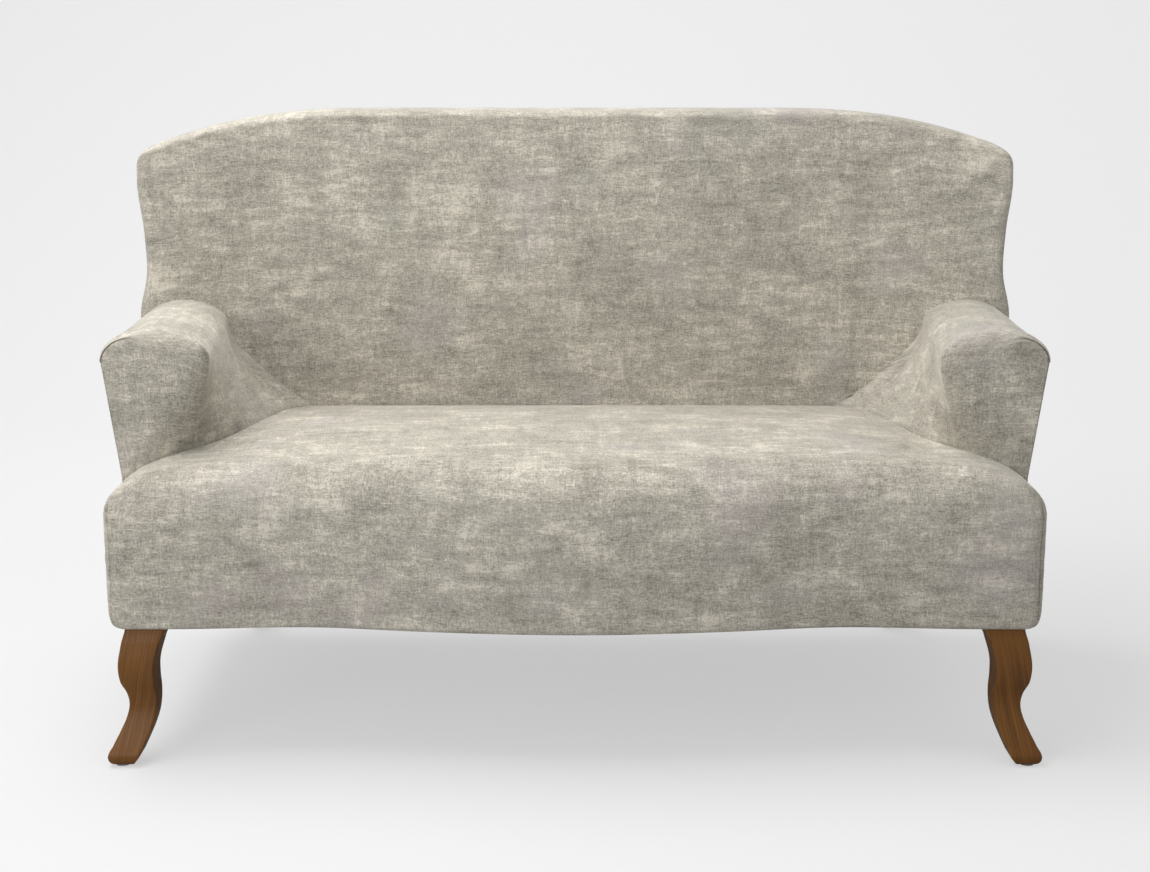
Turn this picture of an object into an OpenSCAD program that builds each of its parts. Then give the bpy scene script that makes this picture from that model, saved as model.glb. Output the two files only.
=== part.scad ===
// Two-seat cabriole sofa: a fully upholstered settee with an arched, winged back, low scrolled arms
// that stand back from the seat's front corners, a tight sprung seat with a serpentine front, and
// show-wood legs, cabriole in front and raked behind.
// Millimetres. X runs across the sofa, Y from front to back, Z up from the floor.
// Depths are reckoned from the seat's front corners; placed() then centres the whole sofa on Y.

/* [Overall] */
// Width of the seat and base over the front corners
base_w = 1436; // [1380:4:1480]
// Width of the back over its shoulders
shoulder_w = 1540; // [1520:4:1600]
// Height of the crest of the back
crest_h = 980; // [940:5:1020]
// Height of the underside of the upholstery
leg_h = 214; // [190:2:230]

/* [Seat] */
// Height of the sitting surface at its edges
seat_h = 458; // [445:1:475]
// Depth from the front corners to the inside back at seat level
seat_d = 561; // [530:1:590]
// Rise of the seat's crown above its edges
seat_crown = 8; // [4:1:14]
// How far the middle of the serpentine front bows forward
front_bow = 30; // [15:1:38]
// How far the front hollows on each side of the bow
front_hollow = 10; // [2:1:12]
// Radius of the seat's top front edge
seat_edge_r = 62; // [50:1:68]
// Radius of the seat's vertical front corners
seat_corner_r = 22; // [19:1:28]

/* [Back] */
// Rake of the back from upright, in degrees
back_rake = 6.5; // [5:0.5:8]
// Thickness of the back, front to rear
back_t = 115; // [108:1:125]
// How far the ends of the back come forward as wings
back_wrap = 70; // [50:1:80]
// Radius of the inside back's front edge
back_edge_r = 34; // [26:1:40]
// Drop of the arched top from its crest to the shoulders
arch_drop = 62; // [50:1:72]

/* [Arms] */
// Height of the crest of the arms
arm_h = 656; // [640:1:680]
// Width over the arms at their front
arm_w = 1476; // [1460:2:1490]
// How far the arm fronts stand behind the seat's front corners
arm_setback = 120; // [100:1:135]
// Height of the scroll from its widest point to its crest
scroll_h = 45; // [40:1:52]
// Width between the arms at their front, behind its flare
between_front_w = 1185; // [1150:5:1210]
// Width between the arms at the back
between_rear_w = 1009; // [960:1:1060]
// Radius at the inner corner of the arm's front
arm_corner_r = 35; // [24:1:42]

/* [Frame] */
// Thickness of the seat rails
rail_t = 28; // [24:1:32]
// Height of the seat rails
rail_h = 90; // [80:1:96]
// Thickness of the back frame's boards
board_t = 30; // [26:1:34]
// Width of the back frame's stiles
stile_w = 80; // [72:1:86]
// Thickness of the arm posts
post_t = 26; // [22:1:30]
// Diameter of the dowels
dowel_d = 10; // [8:1:12]
// Diameter of the leg bolts
bolt_d = 8; // [6:1:10]

/* [Springs] */
// Number of zigzag springs across the seat
spring_count = 9; // [7:1:10]
// Thickness of the spring wire
wire_t = 3.4; // [2.8:0.2:4]
// Width of a spring over its loops
spring_w = 46; // [40:1:54]
// Number of cross bars in each spring
spring_bars = 20; // [16:2:22]

/* [Covers] */
// Thickness of the covering fabric
cover_t = 2; // [1.6:0.1:2.4]
// Thickness of the stiffening panels under the outside covers
panel_t = 3; // [2.4:0.2:4]
// Thickness of the foam over the arms
arm_foam_t = 30; // [26:1:33]
// Thickness of the padding on the seat's front
border_t = 8; // [6:1:9]

/* [Legs] */
// Width of a front leg at its top
front_leg_w = 62; // [56:1:66]
// Width of a rear leg at its top
rear_leg_w = 48; // [42:1:52]
// How far the rear foot stands behind the rear leg's top
rear_leg_rake = 70; // [56:1:78]
// Diameter of the glides under the feet
glide_d = 22; // [18:1:25]

/* [Hidden] */

$fn = 32;

// Clearances
gap = 0.3;            // between layers that lie on each other
ease = 1;             // between soft pieces whose curved faces meet
wadding = 3;          // round the edges of the back's frame, inside its covers
bore_fit = 0.05;      // round a dowel, screw or bolt in its hole
cut = 1;              // overrun of a cut

// Colours
fabric = [0.66, 0.63, 0.58];
foam = [0.93, 0.88, 0.70];
timber = [0.80, 0.66, 0.47];
stained = [0.46, 0.32, 0.21];
hessian = [0.71, 0.60, 0.44];
steel = [0.62, 0.63, 0.65];
black_cloth = [0.16, 0.16, 0.17];
hardboard = [0.45, 0.33, 0.24];

function lerp(a, b, t) = a + (b - a) * t;
function clamp(t) = min(1, max(0, t));
function bell(t) = abs(t) >= 1 ? 0 : 0.5 + 0.5 * cos(180 * t);
function reversed(list) = [for (i = [len(list) - 1 : -1 : 0]) list[i]];
function mirrored(path) = [for (p = path) [for (i = [0 : len(p) - 1]) i == 0 ? -p[0] : p[i]]];
// A half listed from its outer end to the middle, completed with its mirror image
function both_halves(half) = concat(half, reversed([for (i = [0 : len(half) - 2]) mirrored([half[i]])[0]]));
// The same for columns of points
function both_fans(half) = concat(half, reversed([for (i = [0 : len(half) - 2]) mirrored(half[i])]));

// A smooth curve through points, with a number of steps between each two
function curve_at(p, k, t) =
    let (a = p[max(0, k - 1)], b = p[k], c = p[k + 1], d = p[min(len(p) - 1, k + 2)])
    (2 * b + (c - a) * t + (2 * a - 5 * b + 4 * c - d) * t * t + (3 * b - a - 3 * c + d) * t * t * t) / 2;
function smooth(p, steps) = concat(
    [for (k = [0 : len(p) - 2], i = [0 : steps - 1]) curve_at(p, k, i / steps)], [p[len(p) - 1]]);
// The value of a table of [height, value] at a height
function read_table(table, h, k = 0) =
    k >= len(table) - 2 || h < table[k + 1][0]
    ? curve_at(table, k, clamp((h - table[k][0]) / (table[k + 1][0] - table[k][0])))[1]
    : read_table(table, h, k + 1);

// Heights and depths that several pieces share
half_base = base_w / 2;
half_arms = arm_w / 2;
half_shoulder = shoulder_w / 2;
rail_z = leg_h + cover_t + gap;           // underside of the seat rails
rail_top = rail_z + rail_h;
clip_t = 2;
spring_z = rail_top + clip_t;             // underside of the springs
tie_d = 3;
tie_z = spring_z + wire_t + gap + tie_d / 2;
cloth_t = 1.5;
cloth_z = tie_z + tie_d / 2 + gap;
foam_z = cloth_z + cloth_t + gap;
tuck_d = 60;                              // how far the covers tuck down round the seat
tuck_z = seat_h - tuck_d;
widest_z = arm_h - scroll_h;              // height at which the arms are widest
apron_r = 9;                              // radius of the apron's bottom edge
hem_w = 24;                               // how far the covers turn in under the rails
rail_inset = cover_t + border_t + 2 * gap;
side_inset = cover_t + panel_t + 2 * gap;
frame_depth = side_inset + board_t;       // from the rear face to the front of the back's boards
web_t = 2;
foam_depth = frame_depth + 2 * web_t + 3 * gap;

// Serpentine front, as shares of the base's half width
bow_share = 0.60;
hollow_share = 0.588;
hollow_span_share = 0.28;
function front_y(x) =
    front_hollow * bell((abs(x) / half_base - hollow_share) / hollow_span_share)
    - front_bow * bell(abs(x) / half_base / bow_share);

// Plan of the base's front: its right half from the side to the middle, set in by d
front_x_shares = [0.93, 0.86, 0.79, 0.72, 0.65, 0.58, 0.5, 0.41, 0.31, 0.21, 0.1, 0];
corner_turns = [30, 60, 90];
function front_corner(d) = let (r = seat_corner_r - d, w = half_base - d)
    concat([[w, seat_corner_r]],
        [for (a = corner_turns) [w - r + r * cos(a), seat_corner_r - r * sin(a)]],
        [for (s = front_x_shares) let (x = s * (half_base - seat_corner_r)) [x, front_y(x) + d]]);

// Inside back: a raked plane with a slight crown, whose ends wrap forward
wrap_start_share = 0.5;                   // of the half width, where the wrap begins
wrap_power = 1.7;
back_crown = 8;
crown_w_share = 0.8;
crown_h_share = 0.5;
function rake_y(z) = seat_d + tan(back_rake) * (max(z, seat_h) - seat_h);
function rear_y(z) = rake_y(z) + back_t;
function wrap_y(x) =
    back_wrap * pow(clamp((abs(x) / half_shoulder - wrap_start_share) / (1 - wrap_start_share)), wrap_power);
function crown_y(x, z) = let (tall = crest_h - seat_h)
    back_crown * bell(x / half_shoulder / crown_w_share) * bell((z - seat_h - crown_h_share * tall) / tall
        / crown_h_share);
function field_y(x, z) = rake_y(z) - wrap_y(x) - crown_y(x, z);

// Side of the back seen from the front: [height, half width] as shares of the crest and the shoulders
side_shares = [[0.218, 0.930], [0.337, 0.934], [0.439, 0.955], [0.541, 0.984], [0.640, 0.998],
    [0.714, 0.983], [0.796, 0.988], [0.862, 0.999], [0.894, 1]];
function side_x(z) = half_shoulder * read_table(side_shares, z / crest_h);
// The arch of its top, level in the middle, and the rounded shoulder between them
arch_flat_share = 0.468;
arch_end_share = 0.974;
arch_power = 2.46;
shoulder_x_share = 0.945;
shoulder_z_share = 0.894;
shoulder_square_share = 0.8;              // how square the shoulder is
shoulder_shares = [0.25, 0.5, 0.75];
function arch_z(x) =
    let (along = (abs(x) / half_shoulder - arch_flat_share) / (arch_end_share - arch_flat_share))
    crest_h - arch_drop * pow(max(0, along), arch_power);
shoulder_x = half_shoulder * shoulder_x_share;
shoulder_z = crest_h * shoulder_z_share;
function shoulder(t) =
    let (a = [side_x(shoulder_z), shoulder_z], c = [shoulder_x, arch_z(shoulder_x)],
         b = [a[0], lerp(a[1], c[1], shoulder_square_share)])
    (1 - t) * (1 - t) * a + 2 * t * (1 - t) * b + t * t * c;
// Right half of the back's outline from height low up to the crest, set in by d
function back_outline(low, d, sides = 9, arches = 8) = concat(
    [for (i = [0 : sides]) let (z = lerp(low, shoulder_z - d, i / sides)) [side_x(z) - d, z]],
    [for (t = shoulder_shares) let (s = shoulder(t)) s - d * [cos(90 * t), sin(90 * t)]],
    [for (i = [0 : arches]) let (x = shoulder_x * (1 - i / arches)) [x, arch_z(x) - d]]);

// Face of the inside back with its rounded edge, set in by d
function back_face_y(x, z, d) =
    let (u = max(0, abs(x) - side_x(z) + back_edge_r), v = max(0, z - arch_z(x) + back_edge_r),
         r = back_edge_r - d)
    field_y(x, z) + d + r - sqrt(r * r - pow(min(r, norm([u, v])), 2));

// Arms. Inner face at seat level, as a depth runs back from the arm's front
flare_span_share = 0.41;                  // depth over which the front flares outwards
flare_share = 0.45;                       // and by how much, of the arm's thickness there
flare_power = 2.2;
corner_fill_r = 45;                       // where the arm turns into the inside back
corner_fill_span = 65;
scroll_fill_r = 22;                       // the same at the height of the scroll
scroll_fill_on = 29;                      // which meets the back this much further on
function arm_run() = seat_d - arm_setback;
function arm_seat_x(y) = lerp(between_front_w, between_rear_w, (y - arm_setback) / arm_run()) / 2
    + flare_share * (half_arms - between_front_w / 2)
        * pow(clamp(1 - (y - arm_setback) / arm_run() / flare_span_share), flare_power)
    - corner_fill_r * pow(clamp(1 - (seat_d - y) / corner_fill_span), 3);
// Inner side of the scroll, as shares of the half widths over the arms and the back, and its crest
scroll_in_shares = [0.775, 0.774];
crest_shares = [0.56, 0.32];
outer_low_share = 0.967;
outer_turn_share = 0.93;                  // height, of the seat's, where the outside turns upright
inner_power = 1.6;
function arm_t(y) = clamp((y - arm_setback) / arm_run());
turn_z = seat_h * outer_turn_share;
function front_out_x(z) = z > turn_z
    ? lerp(outer_low_share * half_arms, half_arms, (z - turn_z) / (widest_z - turn_z))
    : lerp(half_base, outer_low_share * half_arms, clamp((z - leg_h) / (turn_z - leg_h)));
function outer_x(y, z) = lerp(front_out_x(z), side_x(z),
    clamp((y - arm_setback) / (rear_y(z) - arm_setback)));
// Edge of the inside back below the arms' widest point, and of the back's frame inside every cover
function low_x(z) = min(outer_x(field_y(side_x(z), z), z), side_x(z)) - side_inset - ease;
function frame_x(z) = lerp(low_x(z), side_x(z), clamp((z - widest_z) / scroll_h)) - cover_t - wadding;
function scroll_in_x(y) =
    lerp(scroll_in_shares[0] * half_arms, scroll_in_shares[1] * side_x(widest_z), arm_t(y))
    - scroll_fill_r * pow(clamp(1 - (seat_d + scroll_fill_on - y) / corner_fill_span), 3);
// The front's inner corner is rounded below the scroll, and the rounding dies out over it
function corner_turn(y, z) = let (q = clamp(1 - max(y - arm_setback, cover_t + gap) / arm_corner_r))
    arm_corner_r * (1 - sqrt(1 - q * q)) * clamp((arm_h - z) / scroll_h);

// Section of an arm at a depth, from its tuck beside the seat over the scroll to its widest point
inner_shares = [0.2, 0.4, 0.6, 0.8];
scroll_turns = [180, 160, 140, 120, 100, 80, 60, 40, 20, 0];
function arm_section(y, d) =
    let (xs = arm_seat_x(y), xi = scroll_in_x(y), xo = outer_x(y, widest_z),
         xc = lerp(xi, xo, lerp(crest_shares[0], crest_shares[1], arm_t(y))))
    concat([[xs + d + corner_turn(y, tuck_z), tuck_z], [xs + d + corner_turn(y, seat_h), seat_h]],
        [for (s = inner_shares) let (z = lerp(seat_h, widest_z, s))
            [lerp(xs, xi, 1 - pow(1 - s, inner_power)) + d + corner_turn(y, z), z]],
        [for (a = scroll_turns) let (z = widest_z + (scroll_h - d) * sin(a))
            [(a > 90 ? xc + (xc - xi - d) * cos(a) : xc + (xo - d - xc) * cos(a)) + corner_turn(y, z)
                * clamp(a / 90 - 1), z]]);

// Solids made of grids of points: a skin between two grids, and a pad whose every row closes on itself
function at(i, j, n) = i * n + j;
function grid_loop(m, n) = concat(
    [for (j = [0 : n - 1]) at(0, j, n)], [for (i = [1 : m - 1]) at(i, n - 1, n)],
    [for (j = [n - 2 : -1 : 0]) at(m - 1, j, n)], [for (i = [m - 2 : -1 : 1]) at(i, 0, n)]);
function grid_faces(m, n) = [for (i = [0 : m - 2], j = [0 : n - 2], h = [0, 1])
    let (a = at(i, j, n), b = at(i, j + 1, n), c = at(i + 1, j + 1, n), d = at(i + 1, j, n))
    h == 0 ? [a, d, c] : [a, c, b]];
function flat_list(grid) = [for (row = grid, p = row) p];
module skin(outer, inner) {
    m = len(outer);
    n = len(outer[0]);
    loop = grid_loop(m, n);
    rim = [for (k = [0 : len(loop) - 1], h = [0, 1]) let (p = loop[k], q = loop[(k + 1) % len(loop)])
        h == 0 ? [p, q, q + m * n] : [p, q + m * n, p + m * n]];
    inside = [for (f = grid_faces(m, n)) [f[2] + m * n, f[1] + m * n, f[0] + m * n]];
    polyhedron(concat(flat_list(outer), flat_list(inner)), concat(grid_faces(m, n), inside, rim));
}
module pad(grid) {
    m = len(grid);
    n = len(grid[0]);
    shut = [for (i = [0 : m - 2], h = [0, 1])
        let (a = at(i, n - 1, n), b = at(i, 0, n), c = at(i + 1, 0, n), d = at(i + 1, n - 1, n))
        h == 0 ? [a, d, c] : [a, c, b]];
    ends = [for (i = [0, m - 1], j = [1 : n - 2]) let (a = at(i, 0, n), b = at(i, j, n), c = at(i, j + 1, n))
        i == 0 ? [a, b, c] : [a, c, b]];
    polyhedron(flat_list(grid), concat(grid_faces(m, n), shut, ends));
}

module placed() { translate([0, -(front_y(0) + rear_y(crest_h)) / 2, 0]) children(); }
module left() { mirror([1, 0, 0]) children(); }
module both_sides() { children(); left() children(); }
// What is common to a shape seen from the front, [x, z], and one seen from the side, [y, z]
deep = 2 * (seat_d + back_t);
module sawn(front, side) {
    intersection() {
        translate([0, deep, 0]) rotate([90, 0, 0]) linear_extrude(height = 2 * deep) polygon(front);
        translate([-deep, 0, 0]) rotate([90, 0, 90]) linear_extrude(height = 2 * deep) polygon(side);
    }
}
function oblong(x0, x1, z0, z1) = [[x0, z0], [x1, z0], [x1, z1], [x0, z1]];
// Side view of a layer of the back, between two depths in from its rear face
function layer(low, high, near, far) = let (zs = low < seat_h ? [low, seat_h, high] : [low, high])
    concat([for (z = zs) [rear_y(z) - near, z]], reversed([for (z = zs) [rear_y(z) - far, z]]));
module rod(d, from, to) {
    along = to - from;
    translate(from) rotate([0, acos(along[2] / norm(along)), atan2(along[1], along[0])])
        cylinder(d = d, h = norm(along));
}

// Legs. A front leg is sawn to one pattern from the front and from the side
leg_x_share = 0.9635;                     // outer edge of a front leg's top, of the half base
leg_y = 6;                                // front face of a front leg's top
// [height share, outer edge, inner edge] as shares of the leg's height and of its width at the top
leg_pattern_shares = [[0, 0.47, -0.16], [0.06, 0.47, -0.30], [0.135, 0.355, -0.42], [0.235, 0.19, -0.56],
    [0.33, 0.05, -0.66], [0.42, -0.016, -0.705], [0.51, 0.02, -0.715], [0.61, 0.145, -0.70],
    [0.74, 0.177, -0.72], [0.90, 0.09, -0.86], [1, 0, -1]];
glide_t = 2.5;
leg_steps = 2;
function leg_side(k) = smooth([for (p = leg_pattern_shares)
    [p[k] * front_leg_w, lerp(glide_t, leg_h, p[0])]], leg_steps);
leg_x = half_base * leg_x_share;
function leg_outline() = concat(leg_side(1), reversed(leg_side(2)));
nail_d = 3;
nail_l = 16;
function leg_foot_x() = leg_x + front_leg_w * (leg_pattern_shares[0][1] + leg_pattern_shares[0][2]) / 2;
function leg_foot_y() = leg_y - front_leg_w * (leg_pattern_shares[0][1] + leg_pattern_shares[0][2]) / 2;
bolt_in = 46;                             // depth of a bolt in its leg
bolt_x_share = 0.58;                      // from the leg's outer edges, of its width
bolt_y_share = 0.72;
bolt_x = leg_x - front_leg_w * bolt_x_share;
bolt_y = leg_y + front_leg_w * bolt_y_share;
module bolt_bore(x, y) {
    translate([x, y, leg_h - bolt_in - cut]) cylinder(d = bolt_d + 2 * bore_fit, h = bolt_in + 2 * cut);
}
module nail_bore(x, y) { translate([x, y, 0]) cylinder(d = nail_d + 2 * bore_fit, h = glide_t + nail_l); }
module front_leg() {
    color(stained) difference() {
        sawn([for (p = leg_outline()) [leg_x + p[0], p[1]]], [for (p = leg_outline()) [leg_y - p[0], p[1]]]);
        bolt_bore(bolt_x, bolt_y);
        nail_bore(leg_foot_x(), leg_foot_y());
    }
}
module front_leg_left() { placed() left() front_leg(); }
module front_leg_right() { placed() front_leg(); }

// A rear leg tapers and sweeps back to its foot
rear_leg_x_share = 0.839;                 // of the base's half width at the rear
rear_foot_share = 0.72;                   // foot's width, of the top's
rear_leg_in = 16;                         // from the rear rail to the middle of a rear leg's top
rear_sweep_power = 1.35;
rear_leg_bands = 8;
rear_leg_x = side_x(leg_h) * rear_leg_x_share;
rear_leg_y = rear_y(0) - frame_depth - rear_leg_in;
function rear_leg_edge(side) = [for (i = [0 : rear_leg_bands]) let (t = 1 - i / rear_leg_bands)
    [rear_leg_rake * pow(t, rear_sweep_power) + side * lerp(rear_leg_w, rear_leg_w * rear_foot_share, t) / 2,
     lerp(leg_h, glide_t, t)]];
module rear_leg() {
    front = [for (s = [1, -1]) [for (t = [0, 1])
        [rear_leg_x + s * lerp(rear_foot_share, 1, t) * rear_leg_w / 2, lerp(glide_t, leg_h, t)]]];
    side = concat(rear_leg_edge(1), reversed(rear_leg_edge(-1)));
    color(stained) difference() {
        sawn(concat(front[0], reversed(front[1])), [for (p = side) [rear_leg_y + p[0], p[1]]]);
        bolt_bore(rear_leg_x, rear_leg_y);
        nail_bore(rear_leg_x, rear_leg_y + rear_leg_rake);
    }
}
module rear_leg_left() { placed() left() rear_leg(); }
module rear_leg_right() { placed() rear_leg(); }

module glide(x, y) {
    translate([x, y, 0]) cylinder(d = glide_d, h = glide_t);
    translate([x, y, 0]) cylinder(d = nail_d, h = glide_t + nail_l - cut);
}
module foot_glides() {
    color(steel) placed() both_sides() {
        glide(leg_foot_x(), leg_foot_y());
        glide(rear_leg_x, rear_leg_y + rear_leg_rake);
    }
}

// Corner blocks, and the bolts that hold the legs up to them
block_h = 54;
block_l = 120;
block_shares = [0, 0.25, 0.5, 0.75, 1];   // along a front block's scribed face
block_top = rail_z + block_h;
nut_t = 6;
bolt_end = 5;
module leg_bolt(x, y) {
    translate([x, y, leg_h - bolt_in]) cylinder(d = bolt_d, h = bolt_in + block_h + nut_t + bolt_end);
}
module leg_bolts() {
    color(steel) placed() both_sides() {
        leg_bolt(bolt_x, bolt_y);
        leg_bolt(rear_leg_x, rear_leg_y);
    }
}
module leg_nut(x, y) {
    translate([x, y, block_top]) difference() {
        cylinder(d = 2 * bolt_d, h = nut_t, $fn = 6);
        translate([0, 0, -cut]) cylinder(d = bolt_d + 2 * bore_fit, h = nut_t + 2 * cut, $fn = 32);
    }
}
module leg_nuts() {
    color(steel) placed() both_sides() {
        leg_nut(bolt_x, bolt_y);
        leg_nut(rear_leg_x, rear_leg_y);
    }
}
module bolt_holes(x, y) {
    translate([x, y, leg_h - cut]) cylinder(d = bolt_d + 2 * bore_fit, h = rail_h + 2 * cut);
}

// Seat frame. The front rail follows the serpentine front
side_rail_x = half_base - rail_inset - rail_t;            // inner face of a side rail, at its front
frame_front_y = rear_y(0) - frame_depth;                  // front face of the back's boards at the seat
function front_rail_rear_y(x) = front_y(x) + rail_inset + rail_t;
front_rail_rear = front_rail_rear_y(side_rail_x);
// Inner face of a side rail, which follows the side of the sofa
function rail_in_x(y) = outer_x(y, leg_h) - rail_inset - rail_t;
rear_rail_x = side_x(leg_h) - side_inset - stile_w;
dowel_l = 48;
dowel_shares = [0.28, 0.72];              // heights of the dowels, of the rail's
post_y = arm_setback + cover_t + border_t + 2 * gap;      // front face of an arm post
module seat_dowels(d, l) {
    for (s = dowel_shares, y = [front_rail_rear, frame_front_y])
        let (x = rail_in_x(y) + rail_t / 2, z = rail_z + s * rail_h)
            rod(d, [x, y - l / 2, z], [x, y + l / 2, z]);
    y = post_y + post_t / 2;
    x = rail_in_x(y) + rail_t / 2;
    rod(d, [x, y, rail_top - l / 2], [x, y, rail_top + l / 2]);
}
module seat_dowel_holes() { both_sides() seat_dowels(dowel_d + 2 * bore_fit, dowel_l + 2 * bore_fit); }
module seat_frame_dowels() { color(timber) placed() both_sides() seat_dowels(dowel_d, dowel_l); }
module front_rail() {
    outer = both_halves(front_corner(rail_inset));
    inner = both_halves([for (s = concat([1], front_x_shares)) let (x = s * (half_base - rail_inset))
        [x, front_rail_rear_y(x)]]);
    color(timber) placed() difference() {
        translate([0, 0, rail_z]) linear_extrude(height = rail_h) polygon(concat(outer, reversed(inner)));
        seat_dowel_holes();
        both_sides() block_screws(screw_d + 2 * bore_fit, cut);
        both_sides() bolt_holes(bolt_x, bolt_y);
    }
}
module rear_rail() {
    color(timber) placed() translate([-rear_rail_x, frame_front_y, rail_z])
        cube([2 * rear_rail_x, board_t, rail_h]);
}
// A board's plan, along the side of the frame, from its inner face moved out by x
function side_board(x, y0, y1) = let (ys = y0 < arm_setback ? [y0, arm_setback, y1] : [y0, y1])
    concat([for (y = ys) [rail_in_x(y) + x + rail_t, y]], reversed([for (y = ys) [rail_in_x(y) + x, y]]));
module side_rail() {
    difference() {
        translate([0, 0, rail_z]) linear_extrude(height = rail_h)
            polygon(side_board(0, front_rail_rear, frame_front_y));
        seat_dowel_holes();
        block_screws(screw_d + 2 * bore_fit, cut);
    }
}
module side_rail_left() { color(timber) placed() left() side_rail(); }
module side_rail_right() { color(timber) placed() side_rail(); }
centre_h = 60;
module centre_rail() {
    y = front_rail_rear_y(rail_t) + gap;
    color(timber) placed() translate([-rail_t / 2, y, rail_z]) cube([rail_t, frame_front_y - y, centre_h]);
}

screw_d = 5;
screw_l = 34;
screw_head_d = 10;
screw_head_t = 4;
screw_bite = 20;                          // how far a screw goes into its rail
screw_share = 0.62;                       // its place along the block
module screw(from, to, d, over) {
    dir = (to - from) / norm(to - from);
    rod(d, from, to);
    rod(screw_head_d + (d - screw_d), from - over * block_l * dir, from + screw_head_t * dir);
}
module block_screws(d, over) {
    z = rail_z + block_h / 2;
    low = rail_z + block_h / 4;
    y = front_rail_rear + screw_share * block_l;
    x = side_rail_x - screw_share * block_l;
    yr = frame_front_y - screw_share * block_l;
    screw([rail_in_x(y) - screw_l / 2, y, z], [rail_in_x(y) + screw_bite, y, z], d, over);
    screw([x, front_rail_rear_y(x) + screw_l / 2, low], [x, front_rail_rear_y(x) - screw_bite, low], d, over);
    screw([rail_in_x(yr) - screw_l / 2, yr, z], [rail_in_x(yr) + screw_bite, yr, z], d, over);
}
module corner_block_screws() { color(steel) placed() both_sides() block_screws(screw_d, 0); }
module corner_blocks() {
    scribed = [for (s = block_shares) let (x = side_rail_x - s * block_l) [x, front_rail_rear_y(x) + gap]];
    front = concat(scribed, [[rail_in_x(front_rail_rear + block_l), front_rail_rear + block_l]]);
    x = rail_in_x(frame_front_y);
    rear = [[x, frame_front_y], [x - block_l, frame_front_y],
        [rail_in_x(frame_front_y - block_l), frame_front_y - block_l]];
    color(timber) placed() both_sides() difference() {
        translate([0, 0, rail_z]) linear_extrude(height = block_h) { polygon(front); polygon(rear); }
        block_screws(screw_d + 2 * bore_fit, cut);
        bolt_holes(bolt_x, bolt_y);
        bolt_holes(rear_leg_x, rear_leg_y);
    }
}

// Back frame: stiles, arched top rail, tack rail and muntins, all in one raked layer
top_rail_h = 104;                         // from the top rail's lower edge to the crest's frame line
top_rail_z = crest_h - side_inset - top_rail_h;
back_dowel_share = 0.2;                   // from a stile's middle line, of its width
function back_dowel_x() = frame_x(top_rail_z) - stile_w / 2;
module back_dowels(d, l) {
    y = rear_y(top_rail_z) - side_inset - board_t / 2;
    for (s = [-1, 1]) let (x = back_dowel_x() + s * back_dowel_share * stile_w)
        rod(d, [x, y, top_rail_z - l / 2], [x, y, top_rail_z + l / 2]);
}
module back_frame_dowels() { color(timber) placed() both_sides() back_dowels(dowel_d, dowel_l - dowel_d); }
module back_dowel_holes() {
    both_sides() back_dowels(dowel_d + 2 * bore_fit, dowel_l - dowel_d + 2 * bore_fit);
}
stile_steps = 12;
module back_stile() {
    outer = [for (i = [0 : stile_steps]) let (z = lerp(rail_z, top_rail_z, i / stile_steps)) [frame_x(z), z]];
    inner = [for (p = reversed(outer)) [max(rear_rail_x, p[0] - stile_w), p[1]]];
    difference() {
        sawn(concat(outer, inner), layer(rail_z, top_rail_z, side_inset, frame_depth));
        seat_dowel_holes();
        back_dowel_holes();
    }
}
module back_stile_left() { color(timber) placed() left() back_stile(); }
module back_stile_right() { color(timber) placed() back_stile(); }
module back_top_rail() {
    color(timber) placed() difference() {
        sawn(both_halves(back_outline(top_rail_z, side_inset, 2)),
            layer(top_rail_z, crest_h, side_inset, frame_depth));
        back_dowel_holes();
    }
}
tack_rail_h = 50;
module back_tack_rail() {
    high = tuck_z + tack_rail_h;
    color(timber) placed()
        sawn(oblong(-rear_rail_x, rear_rail_x, tuck_z, high), layer(tuck_z, high, side_inset, frame_depth));
}
muntin_w = 60;
muntin_share = 0.33;
module back_muntins() {
    x = half_shoulder * muntin_share;
    low = tuck_z + tack_rail_h;
    color(timber) placed() both_sides()
        sawn(oblong(x - muntin_w / 2, x + muntin_w / 2, low, top_rail_z),
            layer(low, top_rail_z, side_inset, frame_depth));
}
web_w = 50;
web_lap = 20;                             // how far a web laps its rail
web_x_shares = [-0.66, -0.5, -0.17, 0, 0.17, 0.5, 0.66];
web_z_shares = [0.2, 0.4, 0.6, 0.8];
module back_webbing() {
    low = tuck_z + tack_rail_h - web_lap;
    high = top_rail_z + web_lap;
    near = frame_depth + gap;
    color(hessian) placed() {
        for (s = web_x_shares) let (x = s * half_shoulder)
            sawn(oblong(x - web_w / 2, x + web_w / 2, low, high), layer(low, high, near, near + web_t));
        for (s = web_z_shares) let (z = lerp(low, high, s), x = rear_rail_x + web_lap)
            sawn(oblong(-x, x, z, z + web_w),
                layer(z, z + web_w, near + web_t + gap, near + 2 * web_t + gap));
    }
}

// Arm frame: a post behind each facing, a top rail under the scroll and a tack rail by the seat
facing_low = rail_top + dowel_d;
function facing_outline(d) = let (section = arm_section(arm_setback, d))
    concat([[section[0][0], facing_low]], section,
        [[front_out_x(turn_z) - d, turn_z], [front_out_x(facing_low) - d, facing_low]]);
function arm_narrows(z) = max(0, front_out_x(z) - outer_x(post_y + post_t, z));
module arm_post() {
    d = side_inset + gap + max(arm_narrows(turn_z), arm_narrows(widest_z));
    section = arm_section(arm_setback, d);
    xo = rail_in_x(post_y) + rail_t;
    outline = concat([[section[0][0], rail_top]], section,
        [[front_out_x(turn_z) - d, turn_z], [xo, rail_top + rail_t], [xo, rail_top]]);
    difference() {
        translate([0, post_y + post_t, 0]) rotate([90, 0, 0])
            linear_extrude(height = post_t) polygon(outline);
        seat_dowel_holes();
    }
}
module arm_post_left() { color(timber) placed() left() arm_post(); }
module arm_post_right() { color(timber) placed() arm_post(); }
arm_rail_w = 42;
arm_rail_t = 28;
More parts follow.
